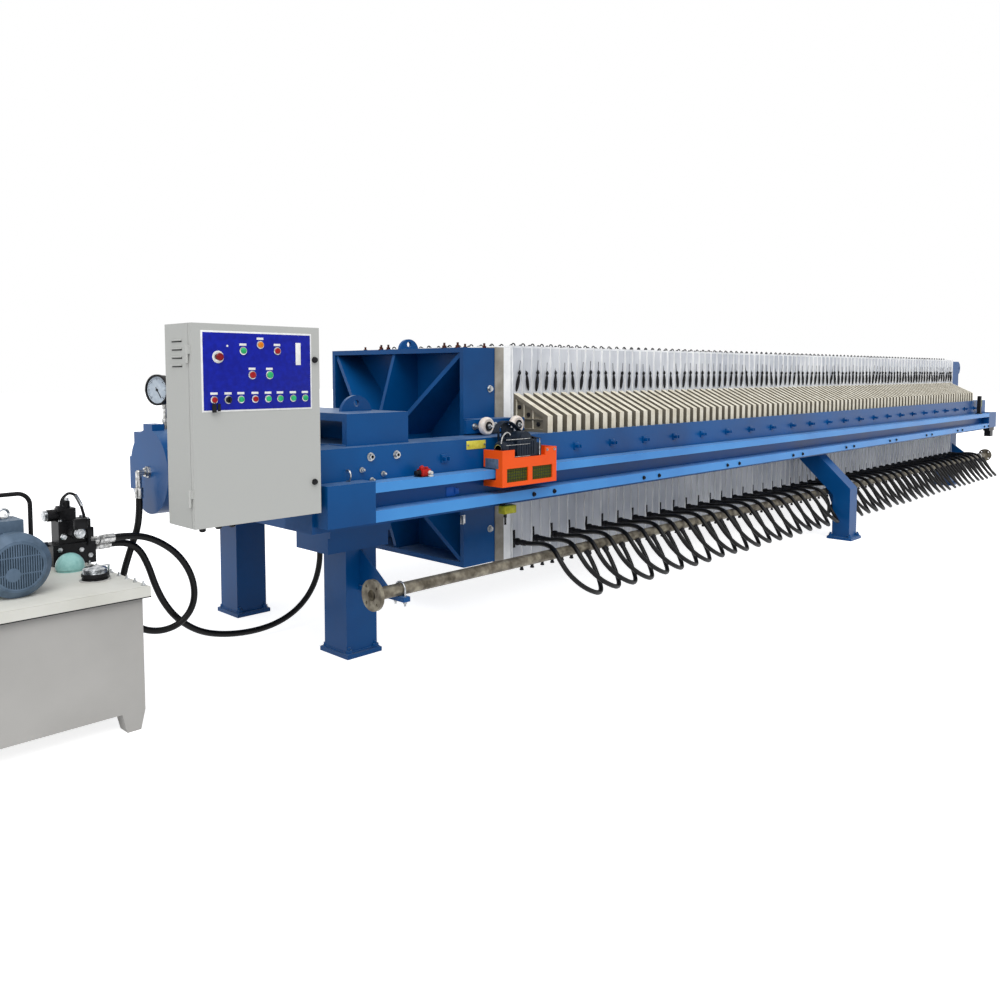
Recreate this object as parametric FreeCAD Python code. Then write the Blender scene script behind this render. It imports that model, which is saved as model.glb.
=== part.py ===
import FreeCAD, Part
import math
import os
from FreeCAD import Vector as V

# Membrane plate filter press: a welded frame on legs, a stack of recessed plates that hang
# by their handles on two side beams, a hydraulic cylinder that closes the stack, a plate
# shuttle on each side, a squeeze manifold with a hose to every second plate, a control
# cabinet and a hydraulic power unit.
#
# Axes: X runs along the machine from the power unit to the thrust plate, Z is up and
# Y = 0 is the centre line.  The operator's side is -Y.  Sizes are in millimetres.
# Stations along X are counted from the front face of the cylinder seat; save() moves
# every piece so that the origin is the middle of the footprint, on the floor.

# ---------------------------------------------------------------- plate stack
PLATE_SIZE = 1250.0           # square filter plate
PLATE_HALF = PLATE_SIZE / 2.0
PLATE_PITCH = 86.0            # one closed plate with its two cloths
PLATE_COUNT = 93
PLATE_GAP = 0.6               # parting gap between closed plates
AXIS_Z = 943.0                # height of the plate centre and of the cylinder axis
HEAD_PLATE = 70.0             # head plate bolted to the follower
CLOTH_PLATE = 60.0            # cloth-faced end plate at each end of the stack
END_GAP = 5.0                 # gap left before the follower clamps the first plate
EAR_TOP = 1301.0              # handle where it meets the plate
EAR_INSET = 15.0              # end of a handle to the beam's outer face
EAR_END_TOP = 1176.0
EAR_THICK = 44.0
EAR_RIM = 18.0
EAR_POCKET = 12.0

# ---------------------------------------------------------------- frame
BEAM_GAP = 65.0               # side of a plate to the inner face of a side beam
BEAM_WIDTH = 215.0
BEAM_INSIDE = PLATE_HALF + BEAM_GAP
BEAM_OUTSIDE = BEAM_INSIDE + BEAM_WIDTH
EAR_OUTSIDE = BEAM_OUTSIDE - EAR_INSET
BEAM_DEPTH = 370.0
BEAM_TOP = 1080.0
BEAM_FRONT_OVERHANG = 244.0   # beam in front of the cylinder seat
BEAM_TAIL_OVERHANG = 130.0    # beam past the thrust plate
SEAT_LENGTH = 368.0           # cylinder seat along X
SEAT_BOTTOM = 628.0
SEAT_TOP = 1231.0
SEAT_STEP = 73.0              # raised part to the beam's outer face
SEAT_HALF_WIDTH = BEAM_OUTSIDE - SEAT_STEP
SEAT_PLATE = 36.0             # walls of the raised part
SEAT_RECESS = 270.0           # depth of the pocket in its front
SEAT_TO_FOLLOWER = 578.0      # closed position: seat to the back of the follower's rim
LEG_INSET = 92.0              # side of a plate to the middle of a front or tail leg
LEG_Y = PLATE_HALF - LEG_INSET
LEG_OFFSET = 43.5             # front legs stand behind the middle of the seat
LEG_SECTION = 188.0
LEG_BASE_X = 213.0
LEG_BASE_Y = 237.0
LEG_BOLTS_X = 165.0
LEG_BOLTS_Y = 190.0
BASE_THICK = 22.0
BASE_BOLT_HOLE = 22.0
LEG_HEAD_DROP = 79.0          # leg heads under the seat
LEG_HEAD_WIDTH = 270.0
MID_LEG_SECTION = 148.0
MID_LEG_BASE = 212.0
MID_BOLT_PITCH = 172.0
MID_LEG_STATION = 5003.0
MID_LEG_SPREAD = 305.0        # outer face of the beam to the outer edge of the middle foot
MID_LEG_REACH = BEAM_OUTSIDE + MID_LEG_SPREAD
MID_LEG_SLOPE = math.radians(43.5)
MID_LEG_BEND = 440.0          # height of the bend on its outer side
GUSSET_THICK = 12.0
GUSSET_FOOT = 186.0           # lower end of the gusset inside the bend
GUSSET_TOP = 480.0

# ---------------------------------------------------------------- follower and thrust plate
FOLLOWER_DEPTH = 248.0
FOLLOWER_FACE = 60.0          # solid face of the pressing plate and of the thrust plate
FOLLOWER_RIM = 28.0           # flange plates round the open back
FOLLOWER_RIB = 26.0
RIB_SETBACK = 14.0            # ribs below the rim's edge and below the hub's end
FOLLOWER_INSET = 6.0          # follower's edge inside the plates' edge
FOLLOWER_HALF = PLATE_HALF - FOLLOWER_INSET
HUB_RADIUS = 170.0
HUB_LENGTH = 140.0
STROKE = 380.0                # opening travel of the follower
SHOULDER_INSET = 20.0         # thrust plate shoulder below and above the beam's faces
LUG_WIDTH = 150.0
LUG_HEIGHT = 64.0
BACK_LUG_RADIUS = 75.0        # half-round lugs on the thrust plate's back
BACK_LUG_DROP = 82.0          # top of the thrust plate to the middle of a back lug
LUG_THICK = 20.0
LUG_HOLE = 34.0
SEAT_LUG_WIDTH = 190.0
SEAT_LUG_HEIGHT = 78.0
SEAT_LUG_Y = 593.0
INNER_LUG_Y = 226.0
INNER_LUG_STATION = 168.0
ARM_LENGTH = 466.0            # side arms that carry the follower on the beams
ARM_OVERHANG = 90.0           # arm in front of the pressing plate
ARM_HEIGHT = 75.0
ARM_ON_BEAM = 45.0            # arm's outer face past the beam's inner face
ARM_OUTSIDE = BEAM_INSIDE + ARM_ON_BEAM
ARM_SHEET = 20.0
ARM_LIFT = 10.0               # arm above the beam
ROLLER_RADIUS = 50.0
ROLLER_WIDTH = 40.0
ROLLER_FROM_ARM = 42.0        # arm's outer face to the middle of its rollers
ROLLER_Y = ARM_OUTSIDE + ROLLER_FROM_ARM
ROLLER_INSET = 113.0          # roller axle from the end of its arm
ROLLER_CROWN = 4.0            # tread falls away towards both faces
ROLLER_PIN = 15.0
PIN_END = 25.0                # axle past the roller
FIT = 0.3                     # running clearance of rollers, rods and pins

# ---------------------------------------------------------------- hydraulic cylinder
BARREL_RADIUS = 205.0
BARREL_LENGTH = 564.0         # in front of the seat, with its cap
BARREL_WALL = 45.0
CAP_THICK = 60.0
CAP_BOSS_WIDTH = 96.0
CAP_BOSS_RISE = 26.0
ROD_RADIUS = 110.0
PISTON_LENGTH = 90.0
PISTON_TO_GLAND = 20.0
GLAND_LENGTH = 60.0
GLAND_FLANGE = 44.0           # gland flange behind the seat
GLAND_FLANGE_RADIUS = 150.0
PORT_RADIUS = 14.0
ELBOW_REACH = 50.0            # centre of the down-turned elbow in front of the cap
ELBOW_DROP = 122.0
ELBOW_SLEEVE = 19.0
SLEEVE_LENGTH = 50.0          # crimped sleeve at a hose's end
UNION_RADIUS = 22.0           # hexagon union, modelled round
UNION_LENGTH = 18.0
ROD_PORT_DROP = 85.0          # hose end below the gland flange
GAUGE_RADIUS = 75.0
GAUGE_DEPTH = 52.0
GAUGE_Z = 1338.0
GAUGE_FROM_CAP = 88.0         # stem behind the front of the cap
GAUGE_STATION = -BARREL_LENGTH + GAUGE_FROM_CAP
GAUGE_TURN = 19.0             # dial turned towards the operator, degrees
STEM_RADIUS = 9.0
STEM_NUT_RADIUS = 16.0
STEM_NUT = 50.0
STEM_NECK_RADIUS = 12.0
STEM_NECK = 14.0

# ---------------------------------------------------------------- shuttle rails and shuttles
RAIL_WIDTH = 99.0             # outer face of the beam to the outer face of a shuttle rail
RAIL_OUTSIDE = BEAM_OUTSIDE + RAIL_WIDTH
RAIL_UPPER_TOP = 922.0
RAIL_UPPER_BAR = 45.0
RAIL_LOWER_TOP = 794.0
RAIL_LOWER_BAR = 53.0
RAIL_WEB = 12.0
RAIL_FRONT = 31.0             # station where the bars leave the front block
RAIL_BLOCK_FRONT = 261.0
RAIL_BLOCK_TAIL = 303.0
RAIL_BLOCK_RISE = 8.0
RAIL_TAIL_OVERHANG = 195.0    # bars past the front of the thrust plate
SHUTTLE_FRONT = 800.0         # parked shuttle
SHUTTLE_LENGTH = 426.0
SHUTTLE_REACH = 57.0          # carriage face outside the rail
SHUTTLE_WRAP = 79.0           # carriage ends inside the rail's face
SHUTTLE_OUTSIDE = RAIL_OUTSIDE + SHUTTLE_REACH
SHUTTLE_INSIDE = RAIL_OUTSIDE - SHUTTLE_WRAP
SHUTTLE_BOTTOM = 832.0
SHUTTLE_TOP = 980.0
SHUTTLE_SHEET = 8.0
SHUTTLE_EAR_LENGTH = 92.0
SHUTTLE_EAR_RISE = 42.0
SHUTTLE_FRAME = 34.0          # bars round the two windows
SHUTTLE_PLAY = 10.0           # carriage to rail
SHUTTLE_ROLLER = 18.0
SHUTTLE_ROLLER_WIDTH = 30.0
SHUTTLE_ROLLER_INSET = 70.0   # wheel from the end of the carriage
SHUTTLE_PIN = 7.0
TRUCK_WIDTH = 52.0
TRUCK_LUG = 6.0
TRUCK_LUG_LENGTH = 24.0
DRIVE_LENGTH = 150.0
DRIVE_WIDTH = 92.0
DRIVE_HEIGHT = 96.0
DRIVE_STATION = 128.0         # gearbox from the front of the carriage
DRIVE_INSET = 14.0
DRIVE_MOTOR_RADIUS = 40.0
DRIVE_MOTOR_LENGTH = 60.0
DRIVE_MOTOR_Z = 52.0
DRIVE_GUARD = 46.0
DRIVE_GUARD_DROP = 22.0
DRIVE_HUMP = 44.0
SWITCH_STATION = 358.0
SWITCH_BODY = (54.0, 44.0, 40.0)
SWITCH_NOSE = 13.0            # radius of the cable entry
SWITCH_NOSE_LENGTH = 30.0
SWITCH_NOSE_Z = 18.0
SWITCH_DOME = 12.0
SWITCH_RISE = 16.0            # dome above the body
POST_STATION = 9309.0         # post that ends the shuttle's travel
POST_WIDTH = 40.0
POST_TOP = 1140.0
POST_FOOT = 76.0
POST_FOOT_THICK = 10.0
TENSIONER_FRONT = 24.0        # under the tail block, from the block's front
TENSIONER_LENGTH = 200.0
TENSIONER_WIDTH = 70.0
TENSIONER_STEPS = (41.0, 111.0)   # depth of its plate and of its housing
TENSIONER_HOUSING = 110.0

# ---------------------------------------------------------------- squeeze manifold
PIPE_RADIUS = 30.0
PIPE_WALL = 3.5
PIPE_OUT = 308.0              # side of a plate to the middle of the pipe
PIPE_Y = PLATE_HALF + PIPE_OUT
PIPE_Z = 388.0
PIPE_FRONT = 55.0
PIPE_TAIL_OVERHANG = 82.0     # past the thrust plate
FLANGE_RADIUS = 75.0
FLANGE_THICK = 18.0
FLANGE_BOLT_CIRCLE = 110.0
FLANGE_HOLE = 14.0
BRACKET_ARM = 24.0
BRACKET_REACH = 50.0          # arm past the pipe's centre
BRACKET_GUSSET = 540.0        # height where the gusset meets the leg
TAIL_BRACKET_OFFSET = -66.0   # tail bracket before the middle of its leg, clear of the last hose
CLAMP_ROD = 5.0
TEE_Z = 422.0
TEE_RADIUS = 17.0
TEE_LENGTH = 70.0
TEE_OFFSET = 21.0             # tee from the front face of its plate
HOSE_RADIUS = 14.0

# ---------------------------------------------------------------- feed flange
FEED_RADIUS = 100.0
FEED_THICK = 20.0
FEED_BORE = 40.0
FEED_BOLT_CIRCLE = 160.0
FEED_HOLE = 18.0
FEED_HOLES = 8

# ---------------------------------------------------------------- control cabinet
CABINET_WIDTH = 572.0
CABINET_HEIGHT = 789.0
CABINET_DEPTH = 216.0
CABINET_BOTTOM = 821.0
CABINET_FRONT = -835.0        # station of the hinge side
CABINET_FACE = RAIL_OUTSIDE   # centre line to the outside of the door
CABINET_SHEET = 2.0
DOOR_THICK = 22.0
DOOR_GAP = 3.0
HINGE_RADIUS = 6.0
HINGE_PLAY = 1.0              # knuckle to the door's edge
HINGE_LENGTH = 34.0
HINGE_LEAF = 16.0
BRACKET_TUBE = 50.0
BRACKET_TUBE_RISE = 150.0     # lower tube above the beam's underside
BRACKET_TUBE_PITCH = 130.0
BRACKET_TUBE_INSET = 60.0     # tube from the cabinet's hinge side

# ---------------------------------------------------------------- hydraulic power unit
TANK_RIGHT = -931.0
TANK_LENGTH = 812.0
TANK_NEAR = 741.0
TANK_DEPTH = 801.0
TANK_BOTTOM = 78.0
TANK_TOP = 567.0
TANK_SHEET = 6.0
LID_SHEET = 8.0
LID_RIM = 43.0
LID_OVERHANG = 24.0
FOOT_TOP = 92.0
FOOT_BASE = 54.0
FOOT_DEPTH = 70.0
MOTOR_RADIUS = 106.0
MOTOR_FIN = 11.0
MOTOR_FINS = 20
MOTOR_LENGTH = 320.0
MOTOR_FOOT_WIDTH = 190.0
MOTOR_FOOT_INSET = 60.0
MOTOR_FOOT_RISE = 40.0        # feet above the underside of the motor's round body
FIN_INSET = 14.0
FIN_THICK = 5.0
FIN_GAP = (245, 295)          # no fins between these angles, where the feet are
TERMINAL_BOX = (110.0, 130.0, 62.0)
TERMINAL_OFFSET = 40.0        # box from the fan cover
TERMINAL_SINK = 10.0
FAN_COVER_BEVEL = 26.0
FAN_COVER_RADIUS = 122.0
FAN_COVER_LENGTH = 74.0
MOTOR_FACE = 622.0            # centre line to the fan cover's grille
MOTOR_Z = 700.0
PUMP_RADIUS = 52.0
PUMP_LENGTH = 120.0
BELL_RADIUS = 92.0
BELL_LENGTH = 90.0
PUMP_PIPE_RADIUS = 11.0
PUMP_PIPE_DROP = 30.0
VALVE_STATION = -967.0
VALVE_Y = 90.0
VALVE_LENGTH = 180.0
VALVE_WIDTH = 110.0
VALVE_PORT_REACH = 107.0      # hose ends in front of the valve block
VALVE_BASE = 96.0             # height of the drilled block
VALVE_BODY = (136.0, 88.0, 100.0)
VALVE_BODY_OFFSET = 6.0
VALVE_COIL_RADIUS = 30.0
VALVE_COIL_LENGTH = 220.0
VALVE_COIL_Z = 150.0
VALVE_TOWER = (66.0, 68.0, 54.0)
VALVE_TOWER_OFFSET = -17.0
VALVE_CAP_RADIUS = 20.0
VALVE_CAP_HEIGHT = 30.0
VALVE_SIDE_CAP = 26.0         # radius of the cap on the tower's left
VALVE_SIDE_REACH = 92.0
VALVE_PORT_YS = (-80.0, -30.0)
VALVE_UNION_GAP = 12.0
FILTER_RADIUS = 58.0
FILTER_NECK = 20.0
FILTER_Y = 250.0
FILTER_OFFSET = -60.0         # return filter from the middle of the valve block
CAP_FLANGE = 10.0
CAP_HEIGHT = 34.0
CAP_STEP = 8.0
CAP_STATION = -1021.0
CAP_Y = 504.0
FILLER_RADIUS = 60.0
HANDLE_BAR = 9.0
HANDLE_HALF = 176.0
HANDLE_HEIGHT = 345.0
HANDLE_Y = 200.0
HANDLE_BEND = 50.0
OIL_HOSE_RADIUS = 16.0
VALVE_PORT_Z = 662.0
RETURN_PORT_Z = 626.0

# ---------------------------------------------------------------- worked-out stations
HUB_FACE = SEAT_LENGTH + SEAT_TO_FOLLOWER - HUB_LENGTH
HEAD_FRONT = SEAT_LENGTH + SEAT_TO_FOLLOWER + FOLLOWER_DEPTH
STACK_FRONT = HEAD_FRONT + HEAD_PLATE + CLOTH_PLATE + END_GAP
STACK_TAIL = STACK_FRONT + PLATE_COUNT * PLATE_PITCH
THRUST_FRONT = STACK_TAIL + CLOTH_PLATE
THRUST_TAIL = THRUST_FRONT + FOLLOWER_DEPTH
BEAM_FRONT = -BEAM_FRONT_OVERHANG
BEAM_TAIL = THRUST_TAIL + BEAM_TAIL_OVERHANG
BEAM_BOTTOM = BEAM_TOP - BEAM_DEPTH
RAIL_TAIL = THRUST_FRONT + RAIL_TAIL_OVERHANG
FRAME_TAIL = RAIL_TAIL + RAIL_BLOCK_TAIL
TANK_LEFT = TANK_RIGHT - TANK_LENGTH
MOTOR_X = (TANK_LEFT + TANK_RIGHT) / 2.0
LID_TOP = TANK_TOP + LID_SHEET
FRAME_FRONT = TANK_LEFT - LID_OVERHANG
MIDDLE = (FRAME_FRONT + FRAME_TAIL) / 2.0
PLATE_BOTTOM = AXIS_Z - PLATE_HALF
PLATE_TOP = AXIS_Z + PLATE_HALF
LEG_X = SEAT_LENGTH / 2.0 + LEG_OFFSET
TAIL_LEG_X = THRUST_FRONT + FOLLOWER_DEPTH / 2.0
LEG_HEAD_BOTTOM = SEAT_BOTTOM - LEG_HEAD_DROP
MID_LEG_OUTER = MID_LEG_REACH - (MID_LEG_BASE - MID_LEG_SECTION) / 2.0
MID_LEG_INNER = MID_LEG_OUTER - MID_LEG_SECTION
MID_LEG_RISE = math.tan(MID_LEG_SLOPE)
MID_INNER_BEND = (MID_LEG_BEND + MID_LEG_SECTION * MID_LEG_RISE
                  - MID_LEG_SECTION / math.cos(MID_LEG_SLOPE))
ARM_FRONT = HEAD_FRONT - FOLLOWER_DEPTH - ARM_OVERHANG
ROLLER_Z = BEAM_TOP + ROLLER_RADIUS + FIT
DECK_BOTTOM = RAIL_UPPER_TOP + 2 * SHUTTLE_ROLLER + 6.0
HOSE_COUNT = (PLATE_COUNT + 1) // 2
PORT_X = VALVE_STATION + VALVE_LENGTH / 2 + VALVE_PORT_REACH
CAP_PORT_X = -BARREL_LENGTH - ELBOW_REACH
CAP_PORT_Z = AXIS_Z - ELBOW_DROP
ROD_PORT_X = SEAT_LENGTH + GLAND_FLANGE / 2
ROD_PORT_Z = AXIS_Z - GLAND_FLANGE_RADIUS - ROD_PORT_DROP
HINGE_X = CABINET_FRONT - HINGE_RADIUS - HINGE_PLAY
HINGE_Y = -CABINET_FACE + DOOR_THICK
HINGE_LEVELS = [CABINET_BOTTOM + CABINET_HEIGHT * share for share in (0.15, 0.85)]


# ---------------------------------------------------------------- small helpers
def block(x0, x1, y0, y1, z0, z1):
    """A box between two corners."""
    return Part.makeBox(x1 - x0, y1 - y0, z1 - z0, V(x0, y0, z0))


def bar(point, direction, radius, length):
    """A round bar from a point along a direction."""
    return Part.makeCylinder(radius, length, V(*point), V(*direction))


def prism(points, direction):
    """A flat outline pushed along a direction."""
    corners = [V(*p) for p in points]
    face = Part.Face(Part.makePolygon(corners + corners[:1]))
    return face.extrude(V(*direction))


def fused(first, *others):
    """Several touching shapes made one solid with no seam edges."""
    return first.fuse(list(others)).removeSplitter()


def other_side(shape):
    """The same piece on the far side of the centre line."""
    return shape.mirror(V(0, 0, 0), V(0, 1, 0))


def both_sides(shape):
    return [shape, other_side(shape)]


def copies(shape, count, step_x):
    """A row of copies along X."""
    row = []
    for number in range(count):
        piece = shape.copy()
        piece.translate(V(number * step_x, 0, 0))
        row.append(piece)
    return row


def save(name, *shapes):
    """Write one named sub-part, moved to the part's own origin."""
    shape = shapes[0] if len(shapes) == 1 else Part.makeCompound(list(shapes))
    shape = shape.copy()
    shape.translate(V(-MIDDLE, 0, 0))
    shape.exportStep(os.path.join("parts", name + ".step"))


# ---------------------------------------------------------------- frame
def side_beam():
    return block(BEAM_FRONT, BEAM_TAIL, -BEAM_OUTSIDE, -BEAM_INSIDE, BEAM_BOTTOM, BEAM_TOP)


def lifting_lug(x, y, z, width, height):
    """Half-round lug plate along the machine with its shackle hole, standing at z."""
    radius = width / 2.0
    disc = bar((x, y - LUG_THICK / 2.0, z + height - radius), (0, 1, 0), radius, LUG_THICK)
    above = block(x - radius, x + radius, y - LUG_THICK, y + LUG_THICK, z, z + height)
    hole = bar((x, y - LUG_THICK, z + height / 2.0), (0, 1, 0), LUG_HOLE / 2.0, 2 * LUG_THICK)
    return disc.common(above).cut(hole)


def back_lug():
    """Half-round lug on the back edge of the thrust plate, near its top corner."""
    y = -FOLLOWER_HALF + FOLLOWER_RIM / 2.0
    z = AXIS_Z + FOLLOWER_HALF - BACK_LUG_DROP
    radius = BACK_LUG_RADIUS
    disc = bar((THRUST_TAIL, y - LUG_THICK / 2.0, z), (0, 1, 0), radius, LUG_THICK)
    behind = block(THRUST_TAIL, THRUST_TAIL + radius, y - LUG_THICK, y + LUG_THICK,
                   z - radius, z + radius)
    hole = bar((THRUST_TAIL + radius / 2.0, y - LUG_THICK, z), (0, 1, 0), LUG_HOLE / 2.0,
               2 * LUG_THICK)
    return disc.common(behind).cut(hole)


def cylinder_seat():
    """Welded box between the beams, with leg heads and a raised top open at its front."""
    body = block(0, SEAT_LENGTH, -BEAM_INSIDE, BEAM_INSIDE, SEAT_BOTTOM, BEAM_TOP)
    top = block(0, SEAT_LENGTH, -SEAT_HALF_WIDTH, SEAT_HALF_WIDTH, BEAM_TOP, SEAT_TOP)
    head = block(0, SEAT_LENGTH, -LEG_Y - LEG_HEAD_WIDTH / 2, -LEG_Y + LEG_HEAD_WIDTH / 2,
                 LEG_HEAD_BOTTOM, SEAT_BOTTOM)
    inside = SEAT_HALF_WIDTH - SEAT_PLATE
    pocket = block(-1, SEAT_RECESS, -inside, inside, BEAM_TOP, SEAT_TOP - SEAT_PLATE)
    bore = bar((-1, 0, AXIS_Z), (1, 0, 0), BARREL_RADIUS, SEAT_LENGTH + 2)
    return fused(body, top, *both_sides(head)).cut(pocket).cut(bore)


def leg(x, top):
    """Column of a front or tail leg, on the -Y side."""
    half = LEG_SECTION / 2.0
    return block(x - half, x + half, -LEG_Y - half, -LEG_Y + half, BASE_THICK, top)


def bolted_base(x, y, size_x, size_y, bolts_x, bolts_y):
    """Base plate with four anchor holes, its underside on the floor."""
    plate = block(x - size_x / 2, x + size_x / 2, y - size_y / 2, y + size_y / 2, 0, BASE_THICK)
    for dx in (-1, 1):
        for dy in (-1, 1):
            hole = bar((x + dx * bolts_x / 2, y + dy * bolts_y / 2, -1), (0, 0, 1),
                       BASE_BOLT_HOLE / 2, BASE_THICK + 2)
            plate = plate.cut(hole)
    return plate


def leg_base(x):
    return bolted_base(x, -LEG_Y, LEG_BASE_X, LEG_BASE_Y, LEG_BOLTS_X, LEG_BOLTS_Y)


def middle_leg():
    """Bent box-section leg: upright, then a slope up to the underside of the beam."""
    top_outer = MID_LEG_OUTER - (BEAM_BOTTOM - MID_LEG_BEND) / MID_LEG_RISE
    inner_end = MID_INNER_BEND + (MID_LEG_INNER - BEAM_INSIDE) * MID_LEG_RISE
    x = MID_LEG_STATION - MID_LEG_SECTION / 2.0
    outline = [
        (x, -MID_LEG_OUTER, BASE_THICK), (x, -MID_LEG_OUTER, MID_LEG_BEND),
        (x, -top_outer, BEAM_BOTTOM), (x, -BEAM_INSIDE, BEAM_BOTTOM),
        (x, -BEAM_INSIDE, inner_end), (x, -MID_LEG_INNER, MID_INNER_BEND),
        (x, -MID_LEG_INNER, BASE_THICK)]
    return prism(outline, (MID_LEG_SECTION, 0, 0))


def middle_leg_base():
    y = -MID_LEG_REACH + MID_LEG_BASE / 2
    return bolted_base(MID_LEG_STATION, y, MID_LEG_BASE, MID_LEG_BASE, MID_BOLT_PITCH, MID_BOLT_PITCH)


def middle_leg_gusset():
    """Plate inside the bend, notched for the squeeze pipe that lies in it."""
    tip = MID_LEG_INNER - (GUSSET_TOP - MID_INNER_BEND) / MID_LEG_RISE
    x = MID_LEG_STATION - GUSSET_THICK / 2.0
    plate = prism([(x, -MID_LEG_INNER, GUSSET_FOOT), (x, -MID_LEG_INNER, MID_INNER_BEND),
                   (x, -tip, GUSSET_TOP)], (GUSSET_THICK, 0, 0))
    return plate.cut(bar((x, -PIPE_Y, PIPE_Z), (1, 0, 0), PIPE_RADIUS + FIT, GUSSET_THICK))


def pressed_box(front, way):
    """Ribbed pressing plate with a solid face, a rim, eight tapered ribs and a hub.

    front is the station of its solid face; its open back points to -X where way is
    -1 and to +X where way is 1.
    """
    def span(near, far, *rest):
        a, b = front + way * near, front + way * far
        return block(min(a, b), max(a, b), *rest)

    half = FOLLOWER_HALF
    inner = half - FOLLOWER_RIM
    plate = span(0, FOLLOWER_DEPTH, -half, half, AXIS_Z - half, AXIS_Z + half)
    shell = plate.cut(span(FOLLOWER_FACE, FOLLOWER_DEPTH + 1, -inner, inner,
                           AXIS_Z - inner, AXIS_Z + inner))
    hub_end = FOLLOWER_DEPTH + HUB_LENGTH
    room = span(0, hub_end, -half + 1, half - 1, AXIS_Z - half + 1, AXIS_Z + half - 1)
    ribs = []
    for number in range(8):
        reach = inner + 2 if number % 2 == 0 else (inner + 2) * math.sqrt(2)
        low = AXIS_Z - FOLLOWER_RIB / 2
        outline = [(front + way * (FOLLOWER_FACE - 1), HUB_RADIUS - 20, low),
                   (front + way * (hub_end - RIB_SETBACK), HUB_RADIUS - 20, low),
                   (front + way * (FOLLOWER_DEPTH - RIB_SETBACK), reach, low),
                   (front + way * (FOLLOWER_FACE - 1), reach, low)]
        rib = prism(outline, (0, 0, FOLLOWER_RIB))
        rib.rotate(V(front, 0, AXIS_Z), V(1, 0, 0), 45 * number)
        ribs.append(rib.common(room))
    hub = bar((front + way * (FOLLOWER_FACE - 1), 0, AXIS_Z), (way, 0, 0), HUB_RADIUS,
              hub_end - FOLLOWER_FACE + 1)
    return fused(shell, hub, *ribs)


def thrust_plate():
    """Fixed end of the press; its shoulders reach out to both beams."""
    shoulder = block(THRUST_FRONT, THRUST_TAIL, -BEAM_INSIDE, -FOLLOWER_HALF,
                     BEAM_BOTTOM + SHOULDER_INSET, BEAM_TOP - SHOULDER_INSET)
    return fused(pressed_box(THRUST_FRONT, 1), *both_sides(shoulder))


def feed_flange():
    """Slurry inlet flange on the thrust plate's hub."""
    x = THRUST_TAIL + HUB_LENGTH
    flange = bar((x, 0, AXIS_Z), (1, 0, 0), FEED_RADIUS, FEED_THICK)
    flange = flange.cut(bar((x, 0, AXIS_Z), (1, 0, 0), FEED_BORE, FEED_THICK))
    for number in range(FEED_HOLES):
        angle = math.radians(360.0 * (number + 0.5) / FEED_HOLES)
        y = FEED_BOLT_CIRCLE / 2 * math.cos(angle)
        z = AXIS_Z + FEED_BOLT_CIRCLE / 2 * math.sin(angle)
        flange = flange.cut(bar((x, y, z), (1, 0, 0), FEED_HOLE / 2, FEED_THICK))
    return flange


# ---------------------------------------------------------------- shuttle rails
def rail_bar(top, height):
    return block(RAIL_FRONT, RAIL_TAIL, -RAIL_OUTSIDE, -BEAM_OUTSIDE - RAIL_WEB, top - height, top)


def rail_web():
    return block(RAIL_FRONT, RAIL_TAIL, -BEAM_OUTSIDE - RAIL_WEB, -BEAM_OUTSIDE,
                 RAIL_LOWER_TOP - RAIL_LOWER_BAR, RAIL_UPPER_TOP)


def rail_blocks():
    low = RAIL_LOWER_TOP - RAIL_LOWER_BAR
    top = RAIL_UPPER_TOP + RAIL_BLOCK_RISE
    front = block(RAIL_FRONT - RAIL_BLOCK_FRONT, RAIL_FRONT, -RAIL_OUTSIDE, -BEAM_OUTSIDE, low, top)
    tail = block(RAIL_TAIL, FRAME_TAIL, -RAIL_OUTSIDE, -BEAM_OUTSIDE, low, top)
    return [front, tail]


def limit_switch():
    """Switch that stands on the near rail in front of the parked shuttle."""
    long, wide, high = SWITCH_BODY
    x, y, z = SWITCH_STATION, -(RAIL_OUTSIDE + BEAM_OUTSIDE + RAIL_WEB) / 2, RAIL_UPPER_TOP
    body = block(x - long / 2, x + long / 2, y - wide / 2, y + wide / 2, z, z + high)
    nose = bar((x - long / 2 - SWITCH_NOSE_LENGTH, y, z + SWITCH_NOSE_Z), (1, 0, 0), SWITCH_NOSE,
               SWITCH_NOSE_LENGTH)
    dome = bar((x, y, z + high), (0, 0, 1), SWITCH_DOME, SWITCH_RISE)
    return fused(body, nose, dome)


def tail_post():
    """Post on the rail that the shuttle's stop and sensor are bolted to."""
    y = -(RAIL_OUTSIDE + BEAM_OUTSIDE + RAIL_WEB) / 2
    half, foot = POST_WIDTH / 2, POST_FOOT / 2
    post = block(POST_STATION - half, POST_STATION + half, y - half, y + half,
                 RAIL_UPPER_TOP, POST_TOP)
    plate = block(POST_STATION - foot, POST_STATION + foot, y - foot / 2 - half / 2,
                  y + foot / 2 + half / 2, RAIL_UPPER_TOP, RAIL_UPPER_TOP + POST_FOOT_THICK)
    return fused(post, plate)


def chain_tensioner():
    """Stepped housing of the shuttle chain's tensioner under the tail block."""
    x0, top = RAIL_TAIL + TENSIONER_FRONT, RAIL_LOWER_TOP - RAIL_LOWER_BAR
    middle = x0 + TENSIONER_LENGTH / 2
    plate_drop, housing_drop = TENSIONER_STEPS
    plate = block(x0, x0 + TENSIONER_LENGTH, -RAIL_OUTSIDE, -RAIL_OUTSIDE + TENSIONER_WIDTH,
                  top - plate_drop, top)
    housing = block(middle - TENSIONER_HOUSING / 2, middle + TENSIONER_HOUSING / 2, -RAIL_OUTSIDE,
                    -RAIL_OUTSIDE + TENSIONER_WIDTH, top - housing_drop, top - plate_drop)
    return fused(plate, housing)


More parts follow.
